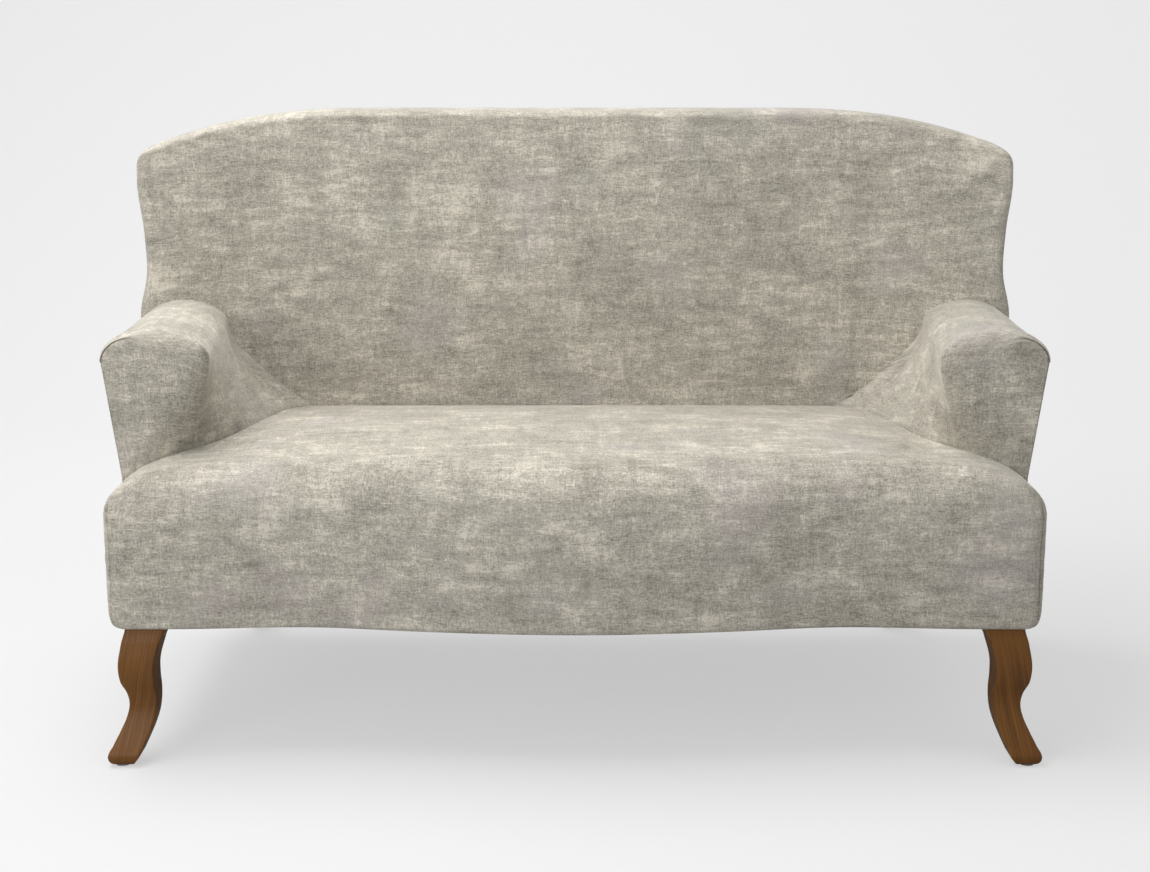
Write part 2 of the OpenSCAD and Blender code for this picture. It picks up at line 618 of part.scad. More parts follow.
arm_rail_top = widest_z - 2 * gap;
module arm_top_rail(grow = 0) {
    y0 = post_y + post_t - grow;
    z0 = arm_rail_top - arm_rail_t - grow;
    z1 = arm_rail_top + grow;
    x0 = half_arms * lerp(scroll_in_shares[0], 1, crest_shares[0]);
    x1 = frame_x(arm_rail_top) - stile_w + arm_rail_w / 2;
    w = arm_rail_w / 2 + grow;
    intersection() {
        translate([0, 0, z0]) linear_extrude(height = z1 - z0)
            polygon([[x0 - w, y0], [x0 + w, y0], [x1 + w, rear_y(z1)], [x1 - w, rear_y(z1)]]);
        sawn(oblong(0, half_shoulder, z0 - cut, z1 + cut),
            [[y0, z0 - cut], [rear_y(z0 - cut) - frame_depth + grow, z0 - cut],
             [rear_y(z1 + cut) - frame_depth + grow, z1 + cut], [y0, z1 + cut]]);
    }
}
module arm_top_rail_left() { color(timber) placed() left() arm_top_rail(); }
module arm_top_rail_right() { color(timber) placed() arm_top_rail(); }
arm_tack_share = 0.4;                     // height of its tack rail, of the room above the side rail
module arm_tack_rail() {
    high = arm_tack_share * (tuck_z - rail_top);
    translate([0, 0, tuck_z - high - ease]) linear_extrude(height = high)
        polygon(side_board(-rail_t / 2, post_y + post_t, frame_front_y));
}
module arm_tack_rail_left() { color(timber) placed() left() arm_tack_rail(); }
module arm_tack_rail_right() { color(timber) placed() arm_tack_rail(); }

// Zigzag springs: one flat strip of wire, bent to and fro from the front rail to the rear rail
spring_end = 12;                          // from a rail's inner face to a spring's last bar
spring_span_share = 0.82;                 // between the outer springs, of the rear rail's length
arc_steps = 3;
function spring_x(k) = lerp(-1, 1, k / (spring_count - 1)) * spring_span_share * rear_rail_x;
function strip(path, w) =
    let (n = len(path) - 1,
         side = [for (i = [0 : n]) let (d = path[min(n, i + 1)] - path[max(0, i - 1)])
            w / 2 * [-d[1], d[0]] / norm(d)])
    concat([for (i = [0 : n]) path[i] + side[i]], reversed([for (i = [0 : n]) path[i] - side[i]]));
function zigzag(y0, y1) = let (pitch = (y1 - y0) / spring_bars, reach = (spring_w - pitch) / 2)
    concat([for (k = [0 : spring_bars - 1], i = [0 : arc_steps])
        let (s = k % 2 == 0 ? 1 : -1, a = 180 * i / arc_steps)
        [s * (reach + sin(a) * pitch / 2), y0 + k * pitch + (1 - cos(a)) * pitch / 2]],
        [[(spring_bars % 2 == 0 ? 1 : -1) * reach, y1]]);
function spring_path(k) =
    let (y0 = front_rail_rear_y(spring_x(k)) - spring_end, y1 = frame_front_y + spring_end)
    concat([[-(spring_w - (y1 - y0) / spring_bars) / 2, y0]], zigzag(y0, y1));
module seat_springs() {
    color(steel) placed() for (k = [0 : spring_count - 1])
        translate([spring_x(k), 0, spring_z]) linear_extrude(height = wire_t)
            polygon(strip(spring_path(k), wire_t));
}
clip_w = 24;
clip_l = 12;
module clip(turn) {
    lip = wire_t + gap;
    high = 1.5 * clip_t + lip;
    x = clip_l / 2;
    rotate([0, 0, turn]) translate([-clip_w / 2, 0, 0]) rotate([90, 0, 90]) linear_extrude(height = clip_w)
        polygon([[-x, 0], [x, 0], [x, high], [-x, high], [-x, clip_t + lip], [x - clip_t, clip_t + lip],
            [x - clip_t, clip_t], [-x, clip_t]]);
}
module spring_clips() {
    back_off = clip_l / 2 - clip_t - wire_t / 2 - gap;
    color(steel) placed() for (k = [0 : spring_count - 1]) {
        translate([spring_x(k), front_rail_rear_y(spring_x(k)) - spring_end + back_off, rail_top]) clip(180);
        translate([spring_x(k), frame_front_y + spring_end - back_off, rail_top]) clip(0);
    }
}
tie_shares = [0.25, 0.5, 0.75];
module spring_ties() {
    color(steel) placed() for (s = tie_shares) let (y = lerp(front_rail_rear, frame_front_y, s),
            x = spring_x(spring_count - 1) + spring_w / 2)
        rod(tie_d, [-x, y, tie_z], [x, y, tie_z]);
}
module spring_cloth() {
    x = side_rail_x - rail_t;
    rear = [[rear_rail_x, frame_front_y + board_t / 2], [rear_rail_x, frame_front_y], [x, arm_setback]];
    front = [for (s = concat([1], front_x_shares)) [s * x, front_rail_rear_y(s * x) - rail_t / 2]];
    half = concat(rear, front);
    color(hessian) placed() translate([0, 0, cloth_z]) linear_extrude(height = cloth_t)
        polygon(both_halves(half));
}

// Seat: columns of points run from its front edge back to the arms and the inside back
end_w = 14;                               // width of the last column, at the arm's front
ear_share = 0.5;
arm_y_shares = [0, 0.03, 0.07, 0.12, 0.2, 0.3, 0.45, 0.62, 0.78, 0.87, 0.94, 1];
back_x_shares = [0.8, 0.6, 0.4, 0.2, 0];
side_y_shares = [0.97, 0.7, 0.42];
first_ease_share = 0.3;                   // of the clearance, as the seat passes the arm's front
corner_power = 5;
function arm_y(s, x, z) = lerp(arm_setback, back_face_y(x, z, 0) - ease, s);
function arm_edge(s) = let (y = arm_setback + s * arm_run()) [arm_seat_x(y) + corner_turn(y, seat_h),
    arm_y(s, arm_seat_x(y), seat_h)];
function seat_rear(d) =
    let (e = ease + d, last = arm_edge(1), first = arm_edge(0), y0 = arm_setback - gap - d)
    concat([[half_base - d - end_w, y0], [lerp(first[0] - e, half_base - d, ear_share), y0]],
        [for (s = arm_y_shares) let (p = arm_edge(s))
            [p[0] - e, s == 0 ? y0 : p[1] - e * max(s, first_ease_share)]],
        [for (s = back_x_shares) [s * (last[0] - e), back_face_y(s * last[0], seat_h, 0) - e]]);
function seat_front(d) = let (y0 = arm_setback - gap - d) concat(
    [for (s = side_y_shares) [half_base - d, lerp(seat_corner_r, y0, s)]], front_corner(d));
function seat_top(x, y, d) =
    let (u = max(0, abs(x) - half_base + seat_edge_r), v = max(0, front_y(x) + seat_edge_r - y),
         r = seat_edge_r - d, q = clamp(y / seat_d),
         reach = min(r, pow(pow(u, corner_power) + pow(v, corner_power), 1 / corner_power)))
    seat_h + 4 * seat_crown * q * (1 - q) * (1 - pow(x / half_base, 2)) - d - r + sqrt(r * r - reach * reach);
edge_turns = [0, 18, 36, 54, 72, 90];
seat_field_shares = [0.25, 0.5, 0.75, 0.93, 1];
apron_mid_share = 0.55;
dive_r = 14;                              // radius where the seat dives beside the arms and back
function seat_column(f, b, d, foot, low) =
    let (long = norm(b - f), dir = (b - f) / long, reach = min(seat_edge_r, ear_share * long),
         rise = [for (a = edge_turns) reach * (1 - cos(a))],
         rest = [for (s = seat_field_shares) lerp(reach, long, s)],
         dip = min(dive_r, ear_share * (long - reach)))
    concat([for (p = foot) [f[0] + p[0] * dir[0], f[1] + p[0] * dir[1], p[1]]],
        [for (s = concat(rise, rest)) let (p = f + s * dir, t = clamp(1 - (long - s) / dip))
            [p[0], p[1], seat_top(p[0], p[1], d) - dip * (1 - sqrt(1 - t * t))]],
        [[b[0], b[1], low]]);
function seat_grid(d, foot, low) = let (f = seat_front(d), b = seat_rear(d))
    both_fans([for (i = [0 : len(f) - 1]) seat_column(f[i], b[i], d, foot, low)]);
function seat_foot(d) = [[hem_w - d, leg_h + d], [apron_r - d, leg_h + d],
    [(apron_r - d) * (1 - sin(45)), leg_h + d + (apron_r - d) * (1 - sin(45))], [0, leg_h + apron_r],
    [0, lerp(leg_h, seat_h - seat_edge_r, apron_mid_share)]];
module seat_cover() {
    low = tuck_z - dive_r;
    color(fabric) placed() skin(seat_grid(0, seat_foot(0), low), seat_grid(cover_t, seat_foot(cover_t), low));
}
module seat_foam() {
    color(foam) placed() pad(seat_grid(cover_t + gap, [[0, foam_z]], foam_z));
}
module front_border_pad() {
    y = arm_setback - cover_t - 2 * gap;
    outer = concat([[half_base - cover_t - gap, y]], front_corner(cover_t + gap));
    inner = concat([[half_base - rail_inset + gap, y]], front_corner(rail_inset - gap));
    low = leg_h + apron_r;
    color(foam) placed() translate([0, 0, low]) linear_extrude(height = foam_z - gap - low)
        polygon(concat(both_halves(outer), reversed(both_halves(inner))));
}

// Inside back: columns run from its outline down to a line below the seat. Below the arms' widest
// point the outline draws in, and the outside arm covers pass over it to the rear
back_low_shares = [0, 0.33, 0.66, 1];
back_high_shares = [0, 0.15, 0.35, 0.6, 0.8, 1];
arch_x_shares = [1, 0.86, 0.7, 0.52, 0.34, 0.17, 0];
back_turns = [0, 22, 45, 68, 90];
back_field_shares = [0.2, 0.45, 0.7, 0.9, 1];
back_low_z = tuck_z - ease;
function back_rim(d) = concat(
        [for (z = concat([back_low_z], [for (s = back_low_shares) lerp(seat_h, widest_z + d, s)]))
            [low_x(z) - d, z]],
        [for (s = back_high_shares) let (z = lerp(widest_z + gap + d, shoulder_z, s)) [side_x(z) - d, z]],
        [for (t = shoulder_shares) shoulder(t) - d * [cos(90 * t), sin(90 * t)]],
        [for (s = arch_x_shares) [s * shoulder_x, arch_z(s * shoulder_x) - d]]);
function back_foot_x(i, n, w) = w * (1 - i / n);
function back_column(f, b, d, rear) =
    let (long = norm(b - f), dir = (b - f) / long, reach = min(back_edge_r - d, ear_share * long),
         turn = [for (a = back_turns) reach * (1 - cos(a))],
         field = [for (s = back_field_shares) lerp(reach, long, s)])
    concat([for (k = rear) [f[0], k(f[1]), f[1]]],
        [for (s = concat(turn, field)) let (p = f + s * dir) [p[0], back_face_y(p[0], p[1], d), p[1]]]);
function plane_y(z) = seat_d + back_t - foam_depth + tan(back_rake) * (z - seat_h);
function back_grid(d, rear) = let (rim = back_rim(d), n = len(rim) - 1, w = rim[0][0] - end_w)
    reversed(both_fans([for (i = [0 : n]) back_column(rim[i], [back_foot_x(i, n, w), back_low_z], d, rear)]));
module arm_rail_slots() { both_sides() arm_top_rail(ease); }
module inside_back_cover() {
    near = function (z) rear_y(z) - cover_t - gap;
    color(fabric) placed() difference() {
        skin(back_grid(0, [near]), back_grid(cover_t, [near]));
        arm_rail_slots();
    }
}
module back_foam() {
    grid = back_grid(cover_t + gap, [function (z) plane_y(z)]);
    closed = [for (column = grid) let (foot = column[len(column) - 1])
        concat(column, [[foot[0], plane_y(back_low_z), back_low_z]])];
    color(foam) placed() difference() {
        pad(closed);
        arm_rail_slots();
    }
}

// Arm covers and foam: sections from the facing back to the inside back
function arm_grid(d, first, last) = [
    for (s = concat([first], [for (q = arm_y_shares) if (q > first) q * last]))
    let (y = arm_setback + s * arm_run())
    [for (p = arm_section(y, d)) [p[0], arm_y(s, p[0], p[1]), p[1]]]];
cover_first_share = (cover_t + gap) / (seat_d - arm_setback);
foam_first_share = (post_y + post_t + ease - arm_setback) / (seat_d - back_wrap - arm_setback);
foam_last_share = 0.995;
module arm_cover() { skin(arm_grid(0, cover_first_share, 1), arm_grid(cover_t, cover_first_share, 1)); }
module arm_foam() {
    skin(arm_grid(cover_t + ease, foam_first_share, foam_last_share),
        arm_grid(cover_t + ease + arm_foam_t, foam_first_share, foam_last_share));
}
module arm_cover_left() { color(fabric) placed() left() arm_cover(); }
module arm_cover_right() { color(fabric) placed() arm_cover(); }
module arm_foam_left() { color(foam) placed() left() arm_foam(); }
module arm_foam_right() { color(foam) placed() arm_foam(); }
module facing_sheet(y, t, d) {
    translate([0, y + t, 0]) rotate([90, 0, 0]) linear_extrude(height = t) polygon(facing_outline(d));
}
module arm_facing_left() { color(fabric) placed() left() facing_sheet(arm_setback, cover_t, 0); }
module arm_facing_right() { color(fabric) placed() facing_sheet(arm_setback, cover_t, 0); }
module facing_pad() { facing_sheet(arm_setback + cover_t + gap, border_t, side_inset); }
module arm_facing_pad_left() { color(foam) placed() left() facing_pad(); }
module arm_facing_pad_right() { color(foam) placed() facing_pad(); }

// Outsides: panels and covers from the facings back to the rear edges, and across the back
outer_y_shares = [0, 0.25, 0.5, 0.75, 1];
outer_high_shares = [1, 0.66, 0.33, 0];
outer_low_shares = [1, 0.5];
function outer_grid(d, top, rear, foot) = [for (s = outer_y_shares)
    let (first = arm_setback + cover_t + gap, y = function (z) lerp(first, rear_y(z) - rear, s))
    concat([for (z = concat([for (q = outer_high_shares) lerp(seat_h, top, q)],
            [for (q = outer_low_shares) lerp(leg_h + apron_r, turn_z, q)])) [outer_x(y(z), z) - d, y(z), z]],
        [for (p = foot) let (z = p[1]) [outer_x(y(z), leg_h + apron_r) - p[0], y(z), z]])];
module outside_arm_cover() {
    top = widest_z - gap;
    low = function (d) let (turn = d + (apron_r - d) * (1 - sin(45)))
        [[d, leg_h + apron_r], [turn, leg_h + turn], [apron_r, leg_h + d], [hem_w, leg_h + d]];
    skin(outer_grid(0, top, cover_t + ease, low(0)), outer_grid(cover_t, top, cover_t + ease, low(cover_t)));
}
module outside_arm_panel() {
    top = widest_z - 2 * gap - cover_t;
    d = cover_t + gap;
    rear = cover_t + 2 * ease;
    skin(outer_grid(d, top, rear, [[d, leg_h + apron_r]]),
        outer_grid(d + panel_t, top, rear, [[d + panel_t, leg_h + apron_r]]));
}
module outside_arm_cover_left() { color(fabric) placed() left() outside_arm_cover(); }
module outside_arm_cover_right() { color(fabric) placed() outside_arm_cover(); }
module outside_arm_panel_left() { color(hardboard) placed() left() outside_arm_panel(); }
module outside_arm_panel_right() { color(hardboard) placed() outside_arm_panel(); }
module outside_back_panel() {
    low = leg_h + apron_r;
    sides = [for (i = [0 : stile_steps]) let (z = lerp(low, widest_z + scroll_h, i / stile_steps))
        [frame_x(z), z]];
    top = back_outline(widest_z + 2 * scroll_h, cover_t + wadding, 4);
    color(hardboard) placed() sawn(both_halves(concat(sides, top)),
        layer(low, crest_h, cover_t + gap, cover_t + gap + panel_t));
}
module outside_back_cover() {
    color(fabric) placed() sawn(both_halves(back_outline(leg_h, 0)), layer(leg_h, crest_h, 0, cover_t));
}
module dust_cover() {
    d = hem_w + ease;
    front = [for (s = concat([1], front_x_shares)) let (x = s * (half_base - d)) [x, front_y(x) + d]];
    half = concat([[side_x(leg_h) - d, rear_y(0) - side_inset], [half_base - d, arm_setback]], front);
    color(black_cloth) placed() difference() {
        translate([0, 0, leg_h]) linear_extrude(height = cover_t) polygon(both_halves(half));
        both_sides() bolt_holes(bolt_x, bolt_y);
        both_sides() bolt_holes(rear_leg_x, rear_leg_y);
    }
}

front_leg_left();
front_leg_right();
rear_leg_left();
rear_leg_right();
foot_glides();
leg_bolts();
leg_nuts();
front_rail();
rear_rail();
side_rail_left();
side_rail_right();
centre_rail();
corner_blocks();
corner_block_screws();
seat_frame_dowels();
back_stile_left();
back_stile_right();
back_top_rail();
back_tack_rail();
back_muntins();
back_frame_dowels();
back_webbing();
arm_post_left();
arm_post_right();
arm_top_rail_left();
arm_top_rail_right();
arm_tack_rail_left();
arm_tack_rail_right();
seat_springs();
spring_clips();
spring_ties();
spring_cloth();
seat_foam();
front_border_pad();
back_foam();
arm_foam_left();
arm_foam_right();
arm_facing_pad_left();
arm_facing_pad_right();
seat_cover();
inside_back_cover();
arm_cover_left();
arm_cover_right();
arm_facing_left();
arm_facing_right();
outside_arm_panel_left();
outside_arm_panel_right();
outside_arm_cover_left();
outside_arm_cover_right();
outside_back_panel();
outside_back_cover();
dust_cover();
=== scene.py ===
# %% [markdown]
# A two-seat cabriole sofa: an arched, winged back, low scrolled arms that stand behind the seat's front
# corners, a tight seat with a serpentine front, and show-wood legs. The imported model is the fixed frame.
# The covers that it carries are plain skins, so this file makes finer ones over the same shapes and
# gives every surface its finish. Lengths are metres; X runs across, Y to the rear and Z up.

# %% The frame
import math

import bmesh
import bpy
import numpy as np
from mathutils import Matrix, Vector
from mathutils.bvhtree import BVHTree


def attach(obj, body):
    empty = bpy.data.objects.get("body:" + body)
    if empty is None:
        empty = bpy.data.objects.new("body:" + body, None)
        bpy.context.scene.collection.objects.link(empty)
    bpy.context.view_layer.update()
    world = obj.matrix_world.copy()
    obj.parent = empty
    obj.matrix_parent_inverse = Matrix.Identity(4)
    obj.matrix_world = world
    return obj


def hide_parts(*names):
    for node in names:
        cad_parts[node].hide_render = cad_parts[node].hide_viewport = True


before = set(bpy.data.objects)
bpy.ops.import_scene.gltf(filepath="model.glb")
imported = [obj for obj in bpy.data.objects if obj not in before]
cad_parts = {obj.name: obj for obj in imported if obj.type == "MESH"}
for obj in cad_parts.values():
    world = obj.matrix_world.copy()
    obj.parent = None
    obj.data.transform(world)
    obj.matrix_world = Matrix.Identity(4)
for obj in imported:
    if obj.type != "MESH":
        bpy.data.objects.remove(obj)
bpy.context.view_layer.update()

# %% [markdown]
# The camera stands where the photographer's did: level with the crest of the back, three metres in
# front, tilted down a little. Its place was found from the widths of the seat, arms and back.

# %% Camera
def new_object(name, data):
    obj = bpy.data.objects.new(name, data)
    bpy.context.scene.collection.objects.link(obj)
    return obj


camera_data = bpy.data.cameras.new("camera")
camera_data.lens = 56.44
camera_data.sensor_width = 36
camera = new_object("camera", camera_data)
camera.location = (0, -2.9927, 1.0752)
camera.rotation_euler = (math.radians(78.1), 0, 0)
bpy.context.scene.camera = camera
print("camera", tuple(round(v, 3) for v in camera.location))

# %% [markdown]
# The sofa's shape is a set of curves: the serpentine front, the raked and winged back, the arch with
# its shoulders, and the section of an arm that changes from its front to the back. They are written
# once, as functions of a place, and each cover is then a grid of points read from them. Depths are
# reckoned from the seat's front corners, and placed() moves them to the frame at the end.

# %% Sizes
BASE, ARMS, SHOULDER = 0.718, 0.738, 0.770  # half widths of the seat, the arms and the back
ARM_FRONT, ARM_REAR = 0.5925, 0.5045  # half widths between the arms
CREST, LEG, SEAT, DEPTH = 0.980, 0.214, 0.458, 0.561  # top, hem and seat edge; the seat's depth
TUCK, WIDEST, TURN = 0.398, 0.611, 0.42594  # heights on the arm
CROWN, BOW, HOLLOW, EDGE, CORNER = 0.008, 0.030, 0.010, 0.062, 0.022
BOW_SPAN, HOLLOW_AT, HOLLOW_SPAN = 0.60, 0.588, 0.28  # shares of the seat's half width
RAKE, BACK, WRAP, DROP = math.tan(math.radians(6.5)), 0.115, 0.070, 0.062
WRAP_FROM, WRAP_POWER = 0.5, 1.7
ARCH_FLAT, ARCH_SPAN, ARCH_POWER = 0.468, 0.506, 2.46  # shares of the back's half width
EDGE_TOP, EDGE_SIDE, EDGE_DEEP = 0.013, 0.024, 0.018  # the soft edge round the inside back
EDGE_SEAT, SEAT_CROWN, PLAN_TOP, PLAN_LOW = 0.110, 0.018, 2.2, 8.0
SETBACK, SCROLL, ARM_TURN = 0.120, 0.045, 0.038
SCROLL_FRONT, SCROLL_REAR, SCROLL_CREST, OUTER_LOW = 0.775, 0.807, 0.555, 0.967
FLARE, FLARE_SPAN, FLARE_POWER = 0.45, 0.41, 2.2  # the inside arm opens towards its front
REAR_TURN, REAR_TURN_RUN = 0.052, 0.075  # and turns into the back at its rear
APRON, HEM, COVER, UNDER, FOAM_LOW, RAIL_IN = 0.009, 0.024, 0.002, 0.0023, 0.3171, 0.0103
RUN = DEPTH - SETBACK
SIDES = (("right", 1), ("left", -1))


def lerp(a, b, t):
    return a + (b - a) * t


def clamp(t):
    return np.clip(t, 0.0, 1.0)


def bell(t):
    return np.where(np.abs(t) >= 1, 0, 0.5 + 0.5 * np.cos(np.pi * np.clip(t, -1, 1)))


def smooth_step(t):
    t = clamp(t)
    return t * t * (3 - 2 * t)


def cosd(degrees):
    return math.cos(math.radians(degrees))


def sind(degrees):
    return math.sin(math.radians(degrees))


def rounded_table(rows):
    """A smooth curve through [place, value] rows, as a function of the place."""
    p, v = np.array(rows, float).T
    def value(h):
        k = np.clip(np.searchsorted(p, h, side="right") - 1, 0, len(p) - 2)
        t = clamp((h - p[k]) / (p[k + 1] - p[k]))
        a, b = v[np.maximum(k - 1, 0)], v[k]
        c, d = v[k + 1], v[np.minimum(k + 2, len(p) - 1)]
        square, cube = 2 * a - 5 * b + 4 * c - d, 3 * b - a - 3 * c + d
        return (2 * b + (c - a) * t + square * t ** 2 + cube * t ** 3) / 2
    return value


print("widths of seat, arms and shoulders", *(round(2 * half, 3) for half in (BASE, ARMS, SHOULDER)))


# %% Seat and back curves
def front_y(x):
    s = np.abs(x) / BASE
    return HOLLOW * bell((s - HOLLOW_AT) / HOLLOW_SPAN) - BOW * bell(s / BOW_SPAN)


def rake_y(z):
    return DEPTH + RAKE * (np.maximum(z, SEAT) - SEAT)


def rear_y(z):
    return rake_y(z) + BACK


def field_y(x, z):
    """The inside back's face without its soft edge."""
    tall = CREST - SEAT
    wrap = WRAP * clamp((np.abs(x) / SHOULDER - WRAP_FROM) / (1 - WRAP_FROM)) ** WRAP_POWER
    crown = CROWN * bell(x / SHOULDER / 0.8) * bell((z - SEAT - tall / 2) / tall / 0.5)
    return rake_y(z) - wrap - crown


side_share = rounded_table([[0.218, 0.930], [0.337, 0.934], [0.439, 0.955], [0.541, 0.984], [0.640, 0.998],
                            [0.714, 0.983], [0.796, 0.988], [0.862, 0.999], [0.894, 1.0]])


def side_x(z):
    return SHOULDER * side_share(z / CREST)


def arch_z(x):
    return CREST - DROP * np.maximum(0, (np.abs(x) / SHOULDER - ARCH_FLAT) / ARCH_SPAN) ** ARCH_POWER


def back_face_y(x, z):
    u = np.maximum(0, np.abs(x) - side_x(z) + EDGE_SIDE) / EDGE_SIDE
    v = np.maximum(0, z - arch_z(x) + EDGE_TOP) / EDGE_TOP
    return field_y(x, z) + EDGE_DEEP * (1 - np.sqrt(1 - np.minimum(1, np.hypot(u, v)) ** 2))


def seat_z(x, y):
    u = np.maximum(0, np.abs(x) - BASE + EDGE_SEAT) * EDGE / EDGE_SEAT
    v = np.maximum(0, front_y(x) + EDGE - y)
    n = lerp(PLAN_TOP, PLAN_LOW, clamp(np.maximum(u, v) / EDGE) ** 2)  # rounder in plan towards the top
    reach = np.minimum(EDGE, (u ** n + v ** n) ** (1 / n))
    q = clamp(y / DEPTH)
    crown = 4 * SEAT_CROWN * q * (1 - q) * (1 - (x / BASE) ** 2)
    return SEAT + crown - EDGE + np.sqrt(EDGE ** 2 - reach ** 2)


MIDDLE_Y = float(front_y(0) + rear_y(CREST)) / 2
print("middle of the depth", round(MIDDLE_Y, 5), "shoulder", round(float(side_x(0.876)), 4))


# %% Arm curves
def arm_t(y):
    return clamp((y - SETBACK) / RUN)


def fillet(t, sharp=2.4):
    """Rises from 0 to 1 and ends square to where it began, so a cover turns into its neighbour."""
    return 1 - (1 - clamp(t) ** sharp) ** (1 / sharp)


def arm_seat_x(y):
    """Where the inside arm meets the seat."""
    along = (y - SETBACK) / RUN
    flare = FLARE * (ARMS - ARM_FRONT) * clamp(1 - along / FLARE_SPAN) ** FLARE_POWER
    return lerp(ARM_FRONT, ARM_REAR, along) + flare - REAR_TURN * fillet(1 - (DEPTH - y) / REAR_TURN_RUN)


def front_out_x(z):
    upper = lerp(OUTER_LOW * ARMS, ARMS, (z - TURN) / (WIDEST - TURN))
    return np.where(z > TURN, upper, lerp(BASE, OUTER_LOW * ARMS, clamp((z - LEG) / (TURN - LEG))))


def outer_x(y, z):
    return lerp(front_out_x(z), side_x(z), clamp((y - SETBACK) / (rear_y(z) - SETBACK)))


def scroll_in_x(y):
    return lerp(SCROLL_FRONT * ARMS, SCROLL_REAR * side_x(WIDEST), arm_t(y))


def corner_turn(y):
    q = clamp(1 - (y - SETBACK) / ARM_TURN)
    return ARM_TURN * (1 - np.sqrt(1 - q * q))


def arm_section(y):
    """Right arm's section at a depth, tuck to widest point: x, z and degrees round the scroll."""
    xs, xi, xo = arm_seat_x(y), scroll_in_x(y), outer_x(y, WIDEST)
    xc, high = lerp(xi, xo, SCROLL_CREST), lerp(SCROLL, SCROLL - 0.004, arm_t(y))
    rows = [(xs, z, 180.0) for z in np.linspace(TUCK, SEAT, 7)]
    for s in np.linspace(0, 1, 20)[1:-1]:
        rows.append((lerp(xs, xi, 1 - (1 - s) ** 1.6), lerp(SEAT, WIDEST, s), 180.0))
    for a in np.linspace(180, 0, 45):
        x = xc + ((xc - xi) if a > 90 else (xo - xc)) * cosd(a)
        rows.append((float(x), WIDEST + high * sind(a), a))
    return np.array(rows, float)


print("arm section points", len(arm_section(0.3)), "crest x", round(arm_section(0.3)[:, 0].min(), 3))


# %% [markdown]
# A cover is a grid of points that closes into a ring, like a sleeve, with its two ends shut. Making it
# from arrays keeps the rows running as the threads of the fabric do, and gives each point its place on
# the cloth, in metres, in a UV map of the piece's own: U along the weft and V along the warp. The
# weave, slubs and streaks of the finish then follow the cover round every edge.

# %% Grids to meshes
def placed(points):
    return np.asarray(points, float) - (0, MIDDLE_Y, 0)


def resample(path, step):
    """Points about one step apart along a path of corners."""
    path = np.asarray(path, float)
    length = np.r_[0, np.cumsum(np.linalg.norm(np.diff(path, axis=0), axis=1))]
    at = np.linspace(0, length[-1], max(2, int(round(length[-1] / step)) + 1))
    return np.stack([np.interp(at, length, path[:, k]) for k in range(path.shape[1])], axis=1)


def both_halves(right):
    """The right half's columns, which end in the middle, and the same columns mirrored."""
    turned = np.ones(right.shape[-1])
    turned[0] = -1
    return np.concatenate([right, right[::-1][1:] * turned])


def grid_mesh(name, grid, cloth=None, pole=None, pole_cloth=None, material=None, sheet=False):
    """A closed mesh from grid[row][column]: each row is a ring. The end rows are shut to a middle point,
    or, on a sheet, by a strip between its two sides."""
    grid = np.asarray(grid, float)
    m, n = grid.shape[:2]
    mesh = bpy.data.meshes.new(name)
    bm = bmesh.new()
    cloth_layer = bm.loops.layers.uv.new("Cloth")
    verts = [bm.verts.new(p) for p in grid.reshape(-1, 3)]
    places = None if cloth is None else np.asarray(cloth, float).reshape(-1, 2)
    def face(ids, extra=None, spot_in=None):
        corners = [verts[i] for i in ids] + ([extra] if extra else [])
        made = bm.faces.new(corners)
        made.smooth = True
        if places is not None:
            spots = [places[i] for i in ids]
            spots += [] if not extra else [np.mean(spots, axis=0) if spot_in is None else spot_in]
            for loop, spot in zip(made.loops, spots):
                loop[cloth_layer].uv = spot
    for i in range(m - 1):
        for j in range(n):
            k = (j + 1) % n
            face((i * n + j, (i + 1) * n + j, (i + 1) * n + k, i * n + k))
    for row, centre in ((0, pole), (m - 1, None)):
        ids = [row * n + j for j in range(n)]
        ids = ids if row == 0 else ids[::-1]
        if sheet:
            for j in range(n // 2 - 1):
                face((ids[j], ids[j + 1], ids[n - 2 - j], ids[n - 1 - j]))
            continue
        middle = bm.verts.new(grid[row].mean(axis=0) if centre is None else centre)
        for j in range(n):
            face((ids[j], ids[(j + 1) % n]), middle, pole_cloth if row == 0 else None)
    bmesh.ops.remove_doubles(bm, verts=bm.verts, dist=2e-5)
    bmesh.ops.dissolve_degenerate(bm, edges=bm.edges, dist=1e-6)
    bmesh.ops.recalc_face_normals(bm, faces=bm.faces)
    triangles = sum(len(f.verts) - 2 for f in bm.faces)
    print(f"{name}: {triangles} triangles, {sum(not e.is_manifold for e in bm.edges)} open edges, "
          f"{bm.calc_volume(signed=True) * 1000:.2f} l")
    bm.to_mesh(mesh)
    bm.free()
    if material:
        mesh.materials.append(material)
    return new_object(name, mesh)


print("a metre in steps of about 0.3:", resample([(0, 0), (1, 0)], 0.3)[:, 0].round(3))

# %% [markdown]
# Materials are built from nodes. Each noise reads a place, so patterns stay put on the piece, and the
# sums between them are written as ordinary expressions: a small class wraps a socket and turns each
# operator into a Math node. Everything else goes through one method that adds a node, sets what kind
# it is, and then fills its sockets.

